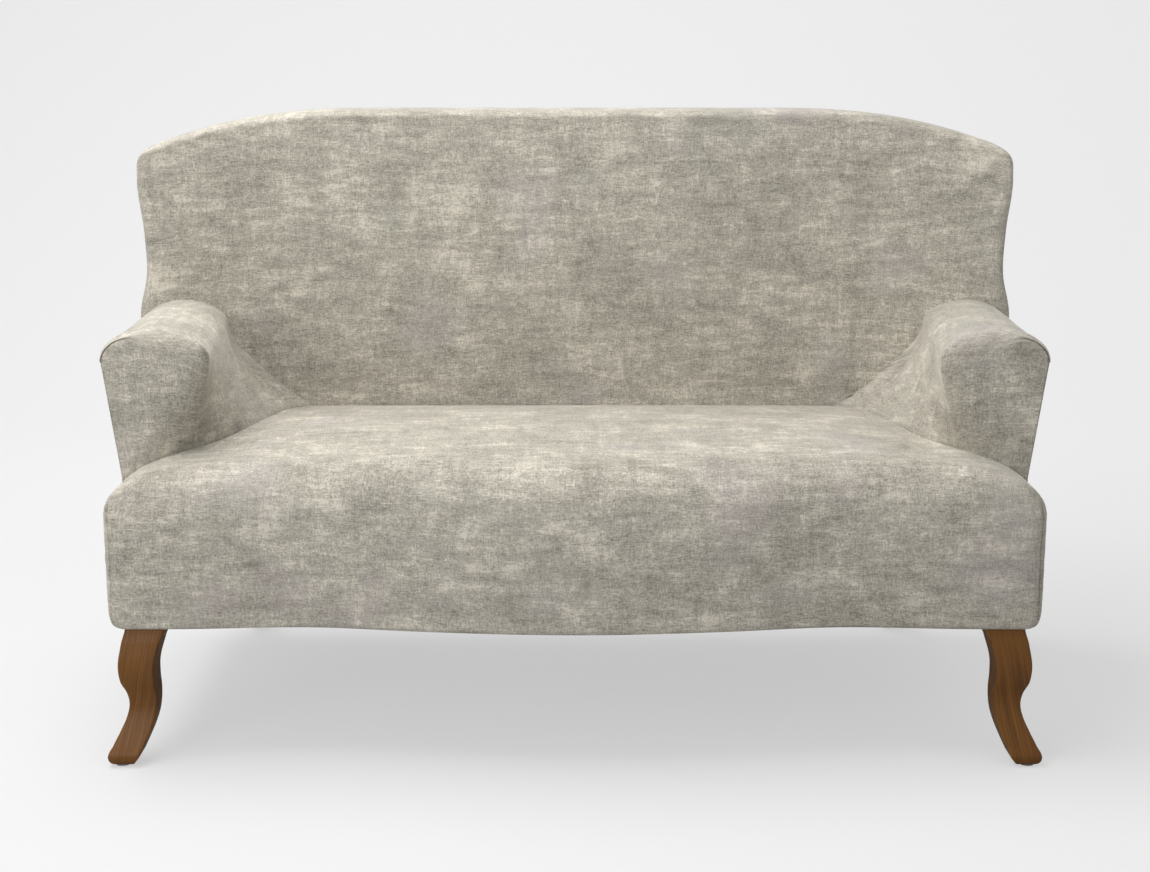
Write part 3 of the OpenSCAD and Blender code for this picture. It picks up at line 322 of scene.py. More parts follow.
# %% Shader expressions
class Wire:
    def __init__(self, paint, socket):
        self.paint, self.socket = paint, socket

    def _sum(self, operation, first, second):
        made = self.paint.node("ShaderNodeMath", {"operation": operation}, {0: first, 1: second})
        return Wire(self.paint, made.outputs[0])

    def __add__(self, other):
        return self._sum("ADD", self, other)

    def __radd__(self, other):
        return self._sum("ADD", other, self)

    def __sub__(self, other):
        return self._sum("SUBTRACT", self, other)

    def __rsub__(self, other):
        return self._sum("SUBTRACT", other, self)

    def __mul__(self, other):
        return self._sum("MULTIPLY", self, other)

    def __rmul__(self, other):
        return self._sum("MULTIPLY", other, self)

    def lift(self, low, high):
        """0 below low, 1 above high, and smooth between."""
        made = self.paint.node("ShaderNodeMapRange", {"interpolation_type": "SMOOTHSTEP"},
                               {"Value": self, "From Min": low, "From Max": high})
        return Wire(self.paint, made.outputs[0])


class Paint:
    """One node material and the methods that fill it."""

    def __init__(self, name):
        self.material = bpy.data.materials.new(name)
        self.material.use_nodes = True
        self.tree = self.material.node_tree
        self.shader = self.tree.nodes["Principled BSDF"]

    def fill(self, socket, value):
        if isinstance(value, Wire):
            self.tree.links.new(value.socket, socket)
        elif hasattr(value, "is_output"):
            self.tree.links.new(value, socket)
        else:
            socket.default_value = (*value, 1) if socket.type == "RGBA" and len(value) == 3 else value

    def node(self, kind, settings=None, values=None):
        made = self.tree.nodes.new(kind)
        for name, value in (settings or {}).items():
            setattr(made, name, value)
        for key, value in (values or {}).items():
            found = made.inputs[key] if isinstance(key, int) else next(
                s for s in made.inputs if key in (s.identifier, s.name) and s.enabled)
            self.fill(found, value)
        return made

    def cloth(self):
        return self.node("ShaderNodeUVMap", {"uv_map": "Cloth"}).outputs["UV"]

    def place(self):
        return self.node("ShaderNodeTexCoord").outputs["Object"]

    def scaled(self, vector, scale, offset=(0, 0, 0)):
        made = self.node("ShaderNodeVectorMath", {"operation": "MULTIPLY_ADD"},
                         {0: vector, 1: scale, 2: offset})
        return made.outputs[0]

    def noise(self, vector, scale, offset=(0, 0, 0), detail=2.0, rough=0.5, warp=0.0):
        made = self.node("ShaderNodeTexNoise", None, {
            "Vector": self.scaled(vector, scale, offset), "Scale": 1.0, "Detail": detail,
            "Roughness": rough, "Distortion": warp})
        return Wire(self, made.outputs["Fac"])

    def mix(self, share, a, b):
        made = self.node("ShaderNodeMix", {"data_type": "RGBA", "clamp_factor": True},
                         {"Factor_Float": share, "A_Color": a, "B_Color": b})
        return next(s for s in made.outputs if s.identifier == "Result_Color")

    def bump(self, height, distance, strength):
        values = {"Height": height, "Distance": distance, "Strength": strength}
        return self.node("ShaderNodeBump", None, values).outputs["Normal"]

    def finish(self, **sockets):
        for name, value in sockets.items():
            self.fill(self.shader.inputs[name.replace("_", " ")], value)
        return self.material


print("shader helpers ready")

# %% [markdown]
# The cover is a linen-look velvet. Its pile catches the light at grazing angles, which is sheen, and
# its colour is cloudy: cream slub patches, with edges that follow the threads, over a grey-brown
# ground, here and there a faint purple or green. Long thin noises along the weft and along the warp
# make the streaks, their sum with soft clouds makes the patches, and a fine noise makes the pile.

# %% Covering fabric
def covering_fabric(name):
    p = Paint(name)
    cloth, place = p.cloth(), p.place()
    clouds = p.noise(place, (11, 11, 15), (3, 1, 7), detail=4, rough=0.62, warp=0.4)
    weft = p.noise(cloth, (16, 75, 1), (5, 2, 0), detail=4, rough=0.68, warp=0.6)
    warp = p.noise(cloth, (85, 20, 1), (1, 8, 3), detail=4, rough=0.68, warp=0.6)
    weft_fine = p.noise(cloth, (85, 470, 1), (0, 3, 5), detail=2, rough=0.6)
    warp_fine = p.noise(cloth, (470, 85, 1), (7, 0, 6), detail=2, rough=0.6)
    pile = p.noise(cloth, (300, 300, 1), (2, 2, 1), detail=3, rough=0.8)
    patches = (clouds - 0.5) * 1.2 + (weft - 0.5) * 1.25 + (warp - 0.5) * 0.8
    fine = (weft_fine - 0.5) * 1.1 + (warp_fine - 0.5) * 0.9 + (pile - 0.5) * 2.0
    ground = p.mix(0.45 + patches * 0.75 + fine * 0.85, (0.205, 0.189, 0.158), (0.600, 0.561, 0.479))
    tint_a = p.noise(place, (5.2, 5.2, 5.2), (11, 4, 2), detail=2)
    tint_b = p.noise(place, (6.1, 6.1, 6.1), (1, 9, 5), detail=2)
    violet = p.mix(tint_a.lift(0.54, 0.70) * 0.26, ground, (0.40, 0.355, 0.37))
    green = p.mix(tint_b.lift(0.56, 0.72) * 0.22, violet, (0.32, 0.33, 0.275))
    cream = (patches + fine * 0.35).lift(0.06, 0.42)
    colour = p.mix(cream * 0.36, green, (0.76, 0.705, 0.595))
    relief = (pile - 0.5) * 0.6 + (weft_fine - 0.5) * 0.5 + (warp_fine - 0.5) * 0.5
    return p.finish(Base_Color=colour, Roughness=0.92, Sheen_Weight=0.45, Sheen_Roughness=0.30,
                    Sheen_Tint=(1.0, 0.96, 0.88, 1), Specular_IOR_Level=0.2,
                    Normal=p.bump(relief, 0.0006, 0.5))


fabric = covering_fabric("covering_fabric")
print("fabric nodes", len(fabric.node_tree.nodes))


# %% [markdown]
# The legs are beech stained to walnut, with a satin lacquer. Their grain runs lengthwise, so it reads
# a UV map of the leg's own, whose V runs up the leg. The frame inside is plain pale timber, cut from
# boards, whose grain can read object coordinates, as each rail is straight.

# %% Woods
def stained_wood():
    p = Paint("stained_wood")
    grain = p.cloth()
    bands = p.noise(grain, (95, 3.2, 1), (2, 0, 0), detail=3, rough=0.55, warp=0.25)
    lines = p.noise(grain, (420, 6, 1), (0, 4, 0), detail=3, rough=0.6)
    pores = p.noise(grain, (1500, 26, 1), (6, 1, 0), detail=1)
    broad = p.noise(grain, (22, 9, 1), (3, 3, 0), detail=2)
    open_pores = pores.lift(0.60, 0.74)
    tone = 0.5 + (bands - 0.5) * 0.6 + (lines - 0.5) * 1.6 + (broad - 0.5) * 0.4 - open_pores * 0.25
    colour = p.mix(tone, (0.065, 0.024, 0.0042), (0.200, 0.084, 0.0160))
    relief = (lines - 0.5) * 0.5 - open_pores * 0.5
    return p.finish(Base_Color=colour, Roughness=0.40 + (lines - 0.5) * 0.12, Coat_Weight=0.04,
                    Coat_Roughness=0.35, Specular_IOR_Level=0.20, Normal=p.bump(relief, 0.0003, 0.4))


def plain_timber(name, along):
    p = Paint(name)
    place = p.place()
    stretch = [170.0, 170.0, 170.0]
    stretch[along] = 5.0
    fine = [v * 4 for v in stretch]
    bands = p.noise(place, stretch, (4, 1, 2), detail=3, rough=0.6, warp=0.3)
    pores = p.noise(place, fine, (1, 7, 3), detail=1)
    tone = 0.5 + (bands - 0.5) * 1.3 - pores.lift(0.58, 0.72) * 0.3
    colour = p.mix(tone, (0.40, 0.25, 0.125), (0.68, 0.50, 0.30))
    return p.finish(Base_Color=colour, Roughness=0.62 + (bands - 0.5) * 0.2,
                    Normal=p.bump(bands - 0.5, 0.0004, 0.5))


leg_wood = stained_wood()
timber_across = plain_timber("frame_timber_across", 0)
timber_deep = plain_timber("frame_timber_deep", 1)
timber_upright = plain_timber("frame_timber_upright", 2)
print("woods ready")


# %% [markdown]
# The layers under the covers have finishes of their own, as in an opened sofa: hessian woven from
# coarse jute, bright spring steel, brown hardboard, and the black bonded cloth that shuts the bottom.

# %% Hessian, steel, hardboard and black cloth
def woven(name, dark, light, pitch, depth):
    p = Paint(name)
    place = p.place()
    across = p.node("ShaderNodeTexWave", {"bands_direction": "X"},
                    {"Vector": place, "Scale": pitch, "Distortion": 1.2, "Detail": 2.0,
                     "Detail Scale": 3.0})
    along = p.node("ShaderNodeTexWave", {"bands_direction": "DIAGONAL"},
                   {"Vector": p.scaled(place, (0, 1.7, 1.7)), "Scale": pitch, "Distortion": 1.2,
                    "Detail": 2.0})
    weave = Wire(p, across.outputs["Fac"]) * 0.5 + Wire(p, along.outputs["Fac"]) * 0.5
    fuzz = p.noise(place, (900, 900, 900), detail=2)
    colour = p.mix(weave * 0.8 + (fuzz - 0.5) * 0.8, dark, light)
    return p.finish(Base_Color=colour, Roughness=0.93, Normal=p.bump(weave + fuzz * 0.4, depth, 0.6))


def spring_steel():
    p = Paint("spring_steel")
    place = p.place()
    scale = p.noise(place, (60, 60, 60), detail=3)
    marks = p.noise(place, (900, 300, 900), detail=2)
    colour = p.mix(scale, (0.30, 0.31, 0.33), (0.58, 0.58, 0.60))
    return p.finish(Base_Color=colour, Metallic=1.0, Roughness=0.28 + scale * 0.18,
                    Normal=p.bump(marks, 0.0001, 0.3))


def hardboard():
    p = Paint("hardboard")
    place = p.place()
    fibres = p.noise(place, (260, 260, 260), detail=4, rough=0.7, warp=1.0)
    clouds = p.noise(place, (14, 14, 14), detail=2)
    colour = p.mix(fibres * 0.7 + clouds * 0.3, (0.105, 0.062, 0.035), (0.26, 0.165, 0.095))
    return p.finish(Base_Color=colour, Roughness=0.66 + (fibres - 0.5) * 0.2,
                    Normal=p.bump(fibres, 0.0003, 0.5))


hessian = woven("hessian", (0.20, 0.135, 0.07), (0.52, 0.39, 0.22), 170, 0.0006)
black_cloth = woven("black_bottom_cloth", (0.008, 0.008, 0.009), (0.035, 0.035, 0.038), 260, 0.0003)
steel, board = spring_steel(), hardboard()
print("materials", len(bpy.data.materials))

# %% [markdown]
# The seat's cover is one piece of cloth: it turns under the rails at the hem, climbs the padded front,
# rolls over the edge, and dives beside the arms and in front of the back. Its columns of points run
# that way too, from the serpentine front to the arms and the inside back. The ring then returns under
# the foam and in front of the rails, so the piece is a real pad with room for the frame.

# %% Seat plan: a front point and a rear point for each column
INNER = BASE - CORNER
SEAT_END = SETBACK - 0.0003  # the seat's ends stop just before the arms' fronts
STEPS = [5] * 3 + [13] * 3 + [8] * 12  # columns in each span


def spans(kind, *stops):
    return [(kind, a, b) for a, b in zip(stops, stops[1:])]


FRONT_SPANS = spans("side", 0.97, 0.7, 0.42, 0) + spans("turn", 0, 30, 60, 90) \
    + spans("front", 1, 0.93, 0.86, 0.79, 0.72, 0.65, 0.58, 0.5, 0.41, 0.31, 0.21, 0.1, 0)
REAR_SPANS = spans("end", 0, 1) + spans("gap", 0, 1) \
    + spans("arm", 0, 0.03, 0.07, 0.12, 0.2, 0.3, 0.45, 0.62, 0.78, 0.87, 0.94, 1) \
    + spans("back", 1, 0.8, 0.6, 0.4, 0.2, 0)


def front_spot(kind, s):
    if kind == "side":
        return BASE, lerp(CORNER, SEAT_END, s)
    if kind == "turn":
        return INNER + CORNER * cosd(s), CORNER * (1 - sind(s))
    return s * INNER, float(front_y(s * INNER))


def arm_edge(s):
    """Where the seat meets the arm, at a share of the arm's length."""
    y = SETBACK + s * RUN
    x = float(arm_seat_x(y) + corner_turn(y))
    return x, float(lerp(SETBACK, back_face_y(x, SEAT), s))


def rear_spot(kind, s):
    start = arm_edge(0)[0]
    between = lerp(start, BASE, 0.5)
    if kind == "end":
        return lerp(BASE - 0.014, between, s), SEAT_END
    if kind == "gap":
        return lerp(between, start, s), SEAT_END
    if kind == "arm":
        return arm_edge(s) if s > 0 else (start, SEAT_END)
    x = s * arm_edge(1)[0]
    return x, float(back_face_y(x, SEAT))


def seat_columns():
    """Right half, from the arm's front round the corner to the middle: front points and rear points."""
    pairs = []
    for steps, (front, a, b), (rear, c, d) in zip(STEPS, FRONT_SPANS, REAR_SPANS):
        for t in np.arange(steps) / steps:
            pairs.append((front_spot(front, lerp(a, b, t)), rear_spot(rear, lerp(c, d, t))))
    pairs.append((front_spot("front", 0), rear_spot("back", 0)))
    return np.array(pairs).swapaxes(0, 1)


fronts, rears = seat_columns()
print("seat columns", len(fronts), "front", fronts[0].round(3), fronts[-1].round(3),
      "rear", rears[-1].round(3))


# %% Seat columns: from the hem over the top and back under the foam
DIVE = 0.006  # how softly the cover dives at the seat's rear
FLAT_ROWS = 56
EDGE_V = EDGE - EDGE * math.pi / 2  # place on the cloth where the edge begins
APRON_TOP = SEAT - EDGE
FOOT = [(d, LEG) for d in (HEM, 0.017, 0.013, APRON)] \
    + [(APRON * (1 - sind(a)), LEG + APRON * (1 - cosd(a))) for a in (22, 45, 68, 90)]


def seat_front(f, way, reach, along, seam):
    """Points and cloth of a column from the hem up the front and over the edge."""
    middle = np.array((INNER, CORNER)) - f
    inward = middle / np.linalg.norm(middle)
    rows, cloth = [], []
    def add(d, z, place, sink):
        rows.append((*(f + d * way + sink * inward), z))
        cloth.append(place)
    for d, z in FOOT:
        add(d, z, (along, EDGE_V - (APRON_TOP - z) - d), seam * smooth_step((z - LEG) / APRON))
    for t in np.linspace(0, 1, 24)[1:-1]:
        z = lerp(LEG + APRON, APRON_TOP, t)
        add(0.0, z, (along, EDGE_V - (APRON_TOP - z)), seam)
    for a in np.linspace(0, 90, 15):
        d, share = reach * (1 - cosd(a)), smooth_step(a / 90)
        p = f + d * way
        v = EDGE * (1 - math.pi / 2 * (1 - a / 90)) if reach == EDGE else lerp(EDGE_V, p[1], share)
        add(d, float(seat_z(*p)), (lerp(along, p[0], share), v), seam * (1 - share))
    return rows, cloth


def seat_column(f, b, along, seam):
    """A whole column: front, edge, flat, the dive at its rear, and the way back under the foam."""
    long = float(np.hypot(*(b - f)))
    way = (b - f) / long
    reach = min(EDGE, 0.5 * long)
    dip = min(DIVE, 0.5 * (long - reach))
    rows, cloth = seat_front(f, way, reach, along, seam)
    def add(p, z, lower=0.0):
        rows.append((p[0], p[1], z))
        cloth.append((p[0], p[1] + lower))
    for s in np.linspace(reach, long - dip, FLAT_ROWS)[1:]:
        p = f + s * way
        add(p, float(seat_z(*p)))
    for a in np.linspace(0, 90, 9)[1:]:
        p = f + (long - dip + dip * sind(a)) * way
        add(p, float(seat_z(*p)) - dip * (1 - cosd(a)), 0.01 * a / 90)
    end, z = f + long * way, rows[-1][2]
    for low in np.linspace(z, TUCK - DIVE, 5)[1:]:
        add(end, low, 0.01 + z - low)
    inner = resample([(long, TUCK - DIVE), (long, FOAM_LOW), (RAIL_IN, FOAM_LOW), (RAIL_IN, LEG + UNDER),
                      (HEM, LEG + UNDER)], 0.03)[1:]
    for d, z in inner[np.linspace(0, len(inner) - 1, 14).round().astype(int)]:
        add(f + d * way, z)
    return rows, cloth


SEAM_AT = 0.52  # of the corner's turn, from the side to the front
SEAM_DEEP, SEAM_WIDE = 0.0042, 0.0013
CORNER_PULL, PULL_HIGH = 0.007, 0.028


def draw_in_corners(points):
    """The hem is pulled in at the front corners, so that they are rounded from the front as well."""
    x, y, z = np.moveaxis(points, -1, 0)
    pull = CORNER_PULL * clamp(1 - (z - LEG) / PULL_HIGH) ** 2
    here = smooth_step((x - BASE + 0.045) / 0.030) * (1 - smooth_step((y - 0.03) / 0.07))
    return np.stack([x - pull * here, y, z], axis=-1)


def seat_grid():
    outline = np.r_[0, np.cumsum(np.hypot(*np.diff(fronts[::-1], axis=0).T))][::-1]
    side_u = outline[np.argmin(np.hypot(fronts[:, 0] - BASE, fronts[:, 1] - CORNER))]
    seam_u = side_u - CORNER * math.pi / 2 * SEAM_AT
    made = [seat_column(f, b, u, SEAM_DEEP * math.exp(-((u - seam_u) / SEAM_WIDE) ** 2))
            for f, b, u in zip(fronts, rears, outline)]
    right, cloth = (np.array(part) for part in zip(*made))
    return both_halves(draw_in_corners(right)), both_halves(cloth)


seat_points, seat_cloth = seat_grid()
seat = grid_mesh("seat_upholstery", placed(seat_points), seat_cloth, material=fabric)

# %% [markdown]
# The inside back is stretched over foam from one wing to the other and pulled over the edge of the
# frame to the rear. Its columns run from the outline, sides and arch alike, down to a line that is
# tucked below the seat. Behind, the ring returns along the foam's flat rear and inside the border.

# %% Inside back
BACK_LOW = TUCK - 0.001  # where the cover ends, tucked below the seat
SIDE_END, ARCH_END = 0.894, 0.945  # the shoulder's turn: share of the crest, of the half width
BACK_INSET, FOAM_REAR = 0.006, 0.0405


def back_rim():
    """Right half of the back's outline, x and z, from below the seat to the crest's middle."""
    def low_x(z):
        x = side_x(z)
        return np.minimum(outer_x(field_y(x, z), z), x) - 0.0066
    low = [(float(low_x(z)), z) for z in np.linspace(BACK_LOW, WIDEST - 0.004, 30)]
    high = [(float(side_x(z)), z) for z in np.linspace(WIDEST - 0.0005, SIDE_END * CREST, 40)]
    a, c = np.array(high[-1]), np.array((ARCH_END * SHOULDER, float(arch_z(ARCH_END * SHOULDER))))
    b = np.array((a[0], lerp(a[1], c[1], 0.8)))
    turn = [tuple((1 - t) ** 2 * a + 2 * t * (1 - t) * b + t * t * c) for t in np.linspace(0, 1, 24)[1:-1]]
    arch = [(x, float(arch_z(x))) for x in np.linspace(c[0], 0, 110)]
    return resample(low + high + turn + arch, 0.0078)


def back_column(f, b, out):
    """From the rear edge round to the face, down to the tuck, and up the foam's flat rear."""
    long = float(np.hypot(*(b - f)))
    way = (b - f) / long
    reach = min(float(np.hypot(EDGE_SIDE * out[0], EDGE_TOP * out[1])), 0.5 * long)
    edge_y, near = float(back_face_y(*f)), float(rear_y(f[1])) - UNDER
    rows, cloth = [], []
    def add(p, y, place):
        rows.append((p[0], y, p[1]))
        cloth.append(place)
    for t in np.linspace(0, 1, 13):
        y = lerp(near, edge_y, t)
        add(f + out * (0.0035 * math.sin(math.pi * t)), y, f + out * (y - edge_y + 0.02))
    for a in np.linspace(0, 90, 10)[1:]:
        p = f + reach * (1 - cosd(a)) * way
        add(p, float(back_face_y(*p)), p + out * 0.02 * (1 - a / 90))
    for s in np.linspace(reach, long, 60)[1:]:
        p = f + s * way
        add(p, float(back_face_y(*p)), p)
    inset = f - out * BACK_INSET
    for s in np.linspace(0, 1, 8):
        p = lerp(b, inset, s)
        add(p, DEPTH + BACK - FOAM_REAR + RAKE * (p[1] - SEAT), p)
    add(inset, near, inset)
    return rows, cloth


def back_grid():
    rim = back_rim()
    way = np.gradient(rim, axis=0)
    out = np.stack([way[:, 1], -way[:, 0]], axis=1)
    out /= np.linalg.norm(out, axis=1, keepdims=True)
    n, w = len(rim) - 1, rim[0][0] - 0.014
    made = [back_column(f, np.array((w * (1 - i / n), BACK_LOW)), o)
            for i, (f, o) in enumerate(zip(rim, out))]
    right, cloth = (np.array(part) for part in zip(*made))
    right[-1, :, 0] = 0
    return both_halves(right), both_halves(cloth)


back_points, back_cloth = back_grid()
back = grid_mesh("back_upholstery", placed(back_points), back_cloth, material=fabric)

# %% [markdown]
# An arm is padded and covered in one piece that comes up beside the seat, over the scroll and down to
# its widest point, and that turns softly round to the front. The front's outer and upper edge is a
# seam, where the cover is drawn down over the edge of the front panel and leaves a thin groove that
# fades towards the inner corner. The piece is a stack of closed sections, from the front to the back.

# %% Arms
ARM_BOTTOM = 0.33


def arm_ring(y):
    """One closed section: the visible curve, the outer side under its cover, the bottom and the tuck."""
    section = arm_section(y)
    side = [(float(outer_x(y, z)), z, -1.0) for z in np.linspace(WIDEST - 0.006, ARM_BOTTOM, 24)]
    low_in = section[0][0]
    bottom = [(lerp(side[-1][0], low_in, t), ARM_BOTTOM, -2.0) for t in np.linspace(0, 1, 8)[1:]]
    rise = [(low_in, z, 180.0) for z in np.linspace(ARM_BOTTOM, TUCK, 6)[1:-1]]
    return np.array([*section, *side, *bottom, *rise], float)


def outward(ring):
    way = np.roll(ring[:, :2], -1, axis=0) - np.roll(ring[:, :2], 1, axis=0)
    normal = np.stack([-way[:, 1], way[:, 0]], axis=1)
    return normal / np.maximum(np.linalg.norm(normal, axis=1, keepdims=True), 1e-9)


ARM_STOPS = np.linspace(SETBACK, SETBACK + RUN, 180)
ARM_RINGS = np.array([arm_ring(y) for y in ARM_STOPS])
ARM_ANGLE = ARM_RINGS[0, :, 2]
ARM_OUT = np.array([outward(ring) for ring in ARM_RINGS])
ARM_PLAN_X = ARM_RINGS[0, 0, 0]
HIDDEN = ARM_ANGLE < 0  # the outer side and the bottom, under other covers
SEAM_SHARE = np.where(HIDDEN, 1.0, smooth_step((88 - ARM_ANGLE) / 42))
SPINE = np.array(((0.670, 0.590), (0.706, 0.375)))  # the line that the front shrinks towards
TURN_STOPS = (0, 40, 70, 90, 115, 140, 180)  # degrees round the scroll
TURN_IN = (0.006, 0.008, 0.015, 0.026, 0.044, 0.058, 0.066)
TURN_BACK = (0.006, 0.008, 0.013, 0.021, 0.019, 0.019, 0.034)
print("arm rings", ARM_RINGS.shape[:2], "hidden points in each", int(HIDDEN.sum()))


# %% [markdown]
# At the front each ring shrinks towards a spine inside the arm, as a cover does that is drawn over a
# rounded corner. The inner side turns softly, and the seam's side sharply, over its small groove.

# %% Arms: how the front turns into the arm's length
def front_turn():
    """For each point of a ring: its way to the spine, how far in and back it turns, and its aim there."""
    x, z, a = ARM_RINGS[0].T
    low = clamp((WIDEST - z) / (WIDEST - TUCK))
    aim = lerp(SPINE[0], SPINE[1], clamp((WIDEST - z) / (WIDEST - SPINE[1, 1]))[:, None])
    way = aim - ARM_RINGS[0, :, :2]
    long = np.linalg.norm(way, axis=1)
    straight = (a == 180) | (a < 0)
    inset = np.where(straight, TURN_IN[-1], np.interp(a, TURN_STOPS, TURN_IN))
    back_in = np.where(straight, lerp(TURN_BACK[-1], 0.060, low), np.interp(a, TURN_STOPS, TURN_BACK))
    inset = np.minimum(np.minimum(inset, 0.8 * long), 0.62 * np.maximum(outer_x(SETBACK, z) - x, 0.012))
    return way / long[:, None], inset, np.minimum(back_in, 1.1 * np.maximum(inset, 0.006)), aim


# The edge of the cover at the seam: how far in and how far back it is at each step of the turn.
SEAM_IN = (0.0034, 0.0031, 0.0028, 0.0025, 0.0021, 0.0016, 0.0009, 0.0003, 0, 0, 0, 0, 0)
SEAM_BACK = (0, 0.0018, 0.0038, 0.0042, 0.0022, 0.0008, 0.0002, 0.0008, 0.002, 0.0035, 0.005, 0.007, 0.009)
COVERED = 0.0055  # how far the hidden side lies inside its cover
AIM_STEPS = (0.2, 0.34, 0.47, 0.58, 0.68, 0.76, 0.83, 0.89, 0.94, 0.975)
FRONT_BULGE = 0.0022
BEND_FROM, BEND_RUN = 0.2, 0.1  # from here on the rings bend towards the back
print("the front turns in by up to", round(float(front_turn()[1].max()) * 1000), "mm")


def arm_spots(y, inset, way_in):
    """Points of the section at depths of their own, moved in towards the spine, and their normals."""
    k = np.clip((y - SETBACK) / RUN * (len(ARM_STOPS) - 1), 0, len(ARM_STOPS) - 1.001)
    low, t, ids = k.astype(int), (k % 1)[:, None], np.arange(len(ARM_ANGLE))
    spot = lerp(ARM_RINGS[low, ids, :2], ARM_RINGS[low + 1, ids, :2], t)
    return spot + way_in * inset[:, None], lerp(ARM_OUT[low, ids], ARM_OUT[low + 1, ids], t)


def arm_turns(radius, radius_back):
    """How far back and in each ring lies, from the front to the rear, and its share of the front's turn."""
    turns, last = [], len(SEAM_IN) - 1
    for k in range(last + 1):
        a = math.pi / 2 * k / last
        inset = lerp(radius * (1 - math.sin(a)), SEAM_IN[k], SEAM_SHARE)
        into = lerp(radius_back * (1 - math.cos(a)), SEAM_BACK[k], SEAM_SHARE)
        if k > 1:
            inset, into = np.where(HIDDEN, COVERED, inset), np.where(HIDDEN, 0.004 + 0.0004 * k, into)
        turns.append((into, inset, k / last))
    start = turns[-1][0]
    slower = 0.80 + 0.20 * np.sin(np.linspace(0, math.pi / 2, 26))
    for s in np.r_[np.linspace(0, 0.80, 40)[1:], slower[1:]]:
        turns.append((lerp(start, RUN, s), np.where(HIDDEN, COVERED, 0.0), 1.0))
    return turns


def arm_fullness(into, girth):
    """How far the cover stands out: full behind the front's turn, and in small pleats before the back."""
    away, seen = RUN - into, ARM_ANGLE >= 0
    full = 0.0026 * smooth_step((into - 0.002) / 0.016) * (1 - smooth_step((into - 0.022) / 0.075))
    pleat = 0.0012 * np.exp(-away / 0.020) * np.cos(2 * math.pi * girth / 0.0165 + 3 * away / 0.05)
    over = bell((ARM_ANGLE - 95) / 80) * seen
    return full * seen * smooth_step((ARM_ANGLE + 40) / 60) + pleat * over


def arm_depth(x, z, into):
    """Depths of a ring, which bends little by little until the last ring lies on the back's face."""
    far = back_face_y(np.minimum(x, side_x(z) - 0.004), z)
    far = far + 0.0006 + 0.0016 * smooth_step((0.54 - z) / 0.05)
    near, bent = SETBACK + into, SETBACK + into / RUN * (far - SETBACK)
    return np.where(into < BEND_FROM, near, lerp(near, bent, smooth_step((into - BEND_FROM) / BEND_RUN)))


# %% [markdown]
# The rings are laid from the front to the rear, where they bend to lie against the back. Places on the
# cloth are measured along the arm, so the weave runs on over the turn and down the arm's length.

# %% Arms: the rings, from the front to the rear
def arm_rows(way_in, turns, rim):
    """Every ring's points, and their places on the cloth: from above on the front, along the arm behind."""
    plan_u = ARM_PLAN_X - rim[:, 0]
    ring_u = lerp(0.02, plan_u, np.where(HIDDEN, 0.0, smooth_step((ARM_ANGLE - 100) / 80)))
    rows, cloths, run = [], [], np.zeros(len(ARM_ANGLE))
    for number, (into, inset, step) in enumerate(turns):
        flat, out = arm_spots(SETBACK + into, inset, way_in)
        girth = np.r_[0, np.cumsum(np.hypot(*np.diff(flat, axis=0).T))]
        x, z = (flat + out * arm_fullness(into, girth)[:, None]).T
        spots = np.stack([x, arm_depth(x, z, into), z], axis=1)
        if rows:
            run = run + np.linalg.norm(spots - rows[-1], axis=1)
        share = lerp(smooth_step(step), float(number > 1), SEAM_SHARE)
        rows.append(spots)
        cloths.append(np.stack([lerp(plan_u, ring_u, share) + run, lerp(z - TUCK, girth, share)], axis=1))
    return rows, cloths


def arm_front(rim, aim):
    """The slightly bulging front, from near the spine out to the first ring."""
    rows, cloths = [], []
    for t in AIM_STEPS:
        x, z = lerp(aim, rim, t).T
        rows.append(np.stack([x, np.full(len(x), SETBACK - FRONT_BULGE * (1 - t * t) ** 2), z], axis=1))
        cloths.append(np.stack([ARM_PLAN_X - x, z - TUCK], axis=1))
    return rows, cloths


def arm_grid():
    """Points and cloth of the right arm, and the same of the front's middle point."""
    way_in, radius, radius_back, aim = front_turn()
    turns = arm_turns(radius, radius_back)
    rim, _ = arm_spots(SETBACK + turns[0][0], turns[0][1], way_in)
    front, front_cloth = arm_front(rim, aim)
    rows, cloths = arm_rows(way_in, turns, rim)
    x, z = SPINE.mean(axis=0)
    return (np.array(front + rows), np.array(front_cloth + cloths),
            np.array((x, SETBACK - FRONT_BULGE, z)), np.array((ARM_PLAN_X - x, z - TUCK)))


arm_points, arm_cloth, arm_pole, arm_pole_cloth = arm_grid()
arm_objects = {}
for side, turn in SIDES:
    flip = (turn, 1, 1)
    arm_objects[side] = grid_mesh(
        f"arm_upholstery_{side}", placed(arm_points * flip), arm_cloth * flip[:2],
        placed(arm_pole * flip), arm_pole_cloth * flip[:2], fabric)

# %% [markdown]
# The outside covers are drawn flat over stiff panels: one on each side, from the arm's widest point
# down to the hem and back to the rear edge, and one across the rear. Each is a thin closed sheet.

# %% Outside covers
def sheet_ring(outer, inner):
    """Closed rows from an outer and an inner sheet of points."""
    return np.concatenate([np.asarray(outer, float), np.asarray(inner, float)[:, ::-1]], axis=1)


def outside_y(z, s):
    """Depth at a share of the way from the front edge, just behind seat and seam, to the rear."""
    start = SETBACK + lerp(0.0003, 0.0023, smooth_step((z - 0.400) / 0.030))
    return lerp(start, float(rear_y(z)) - 0.003, s)


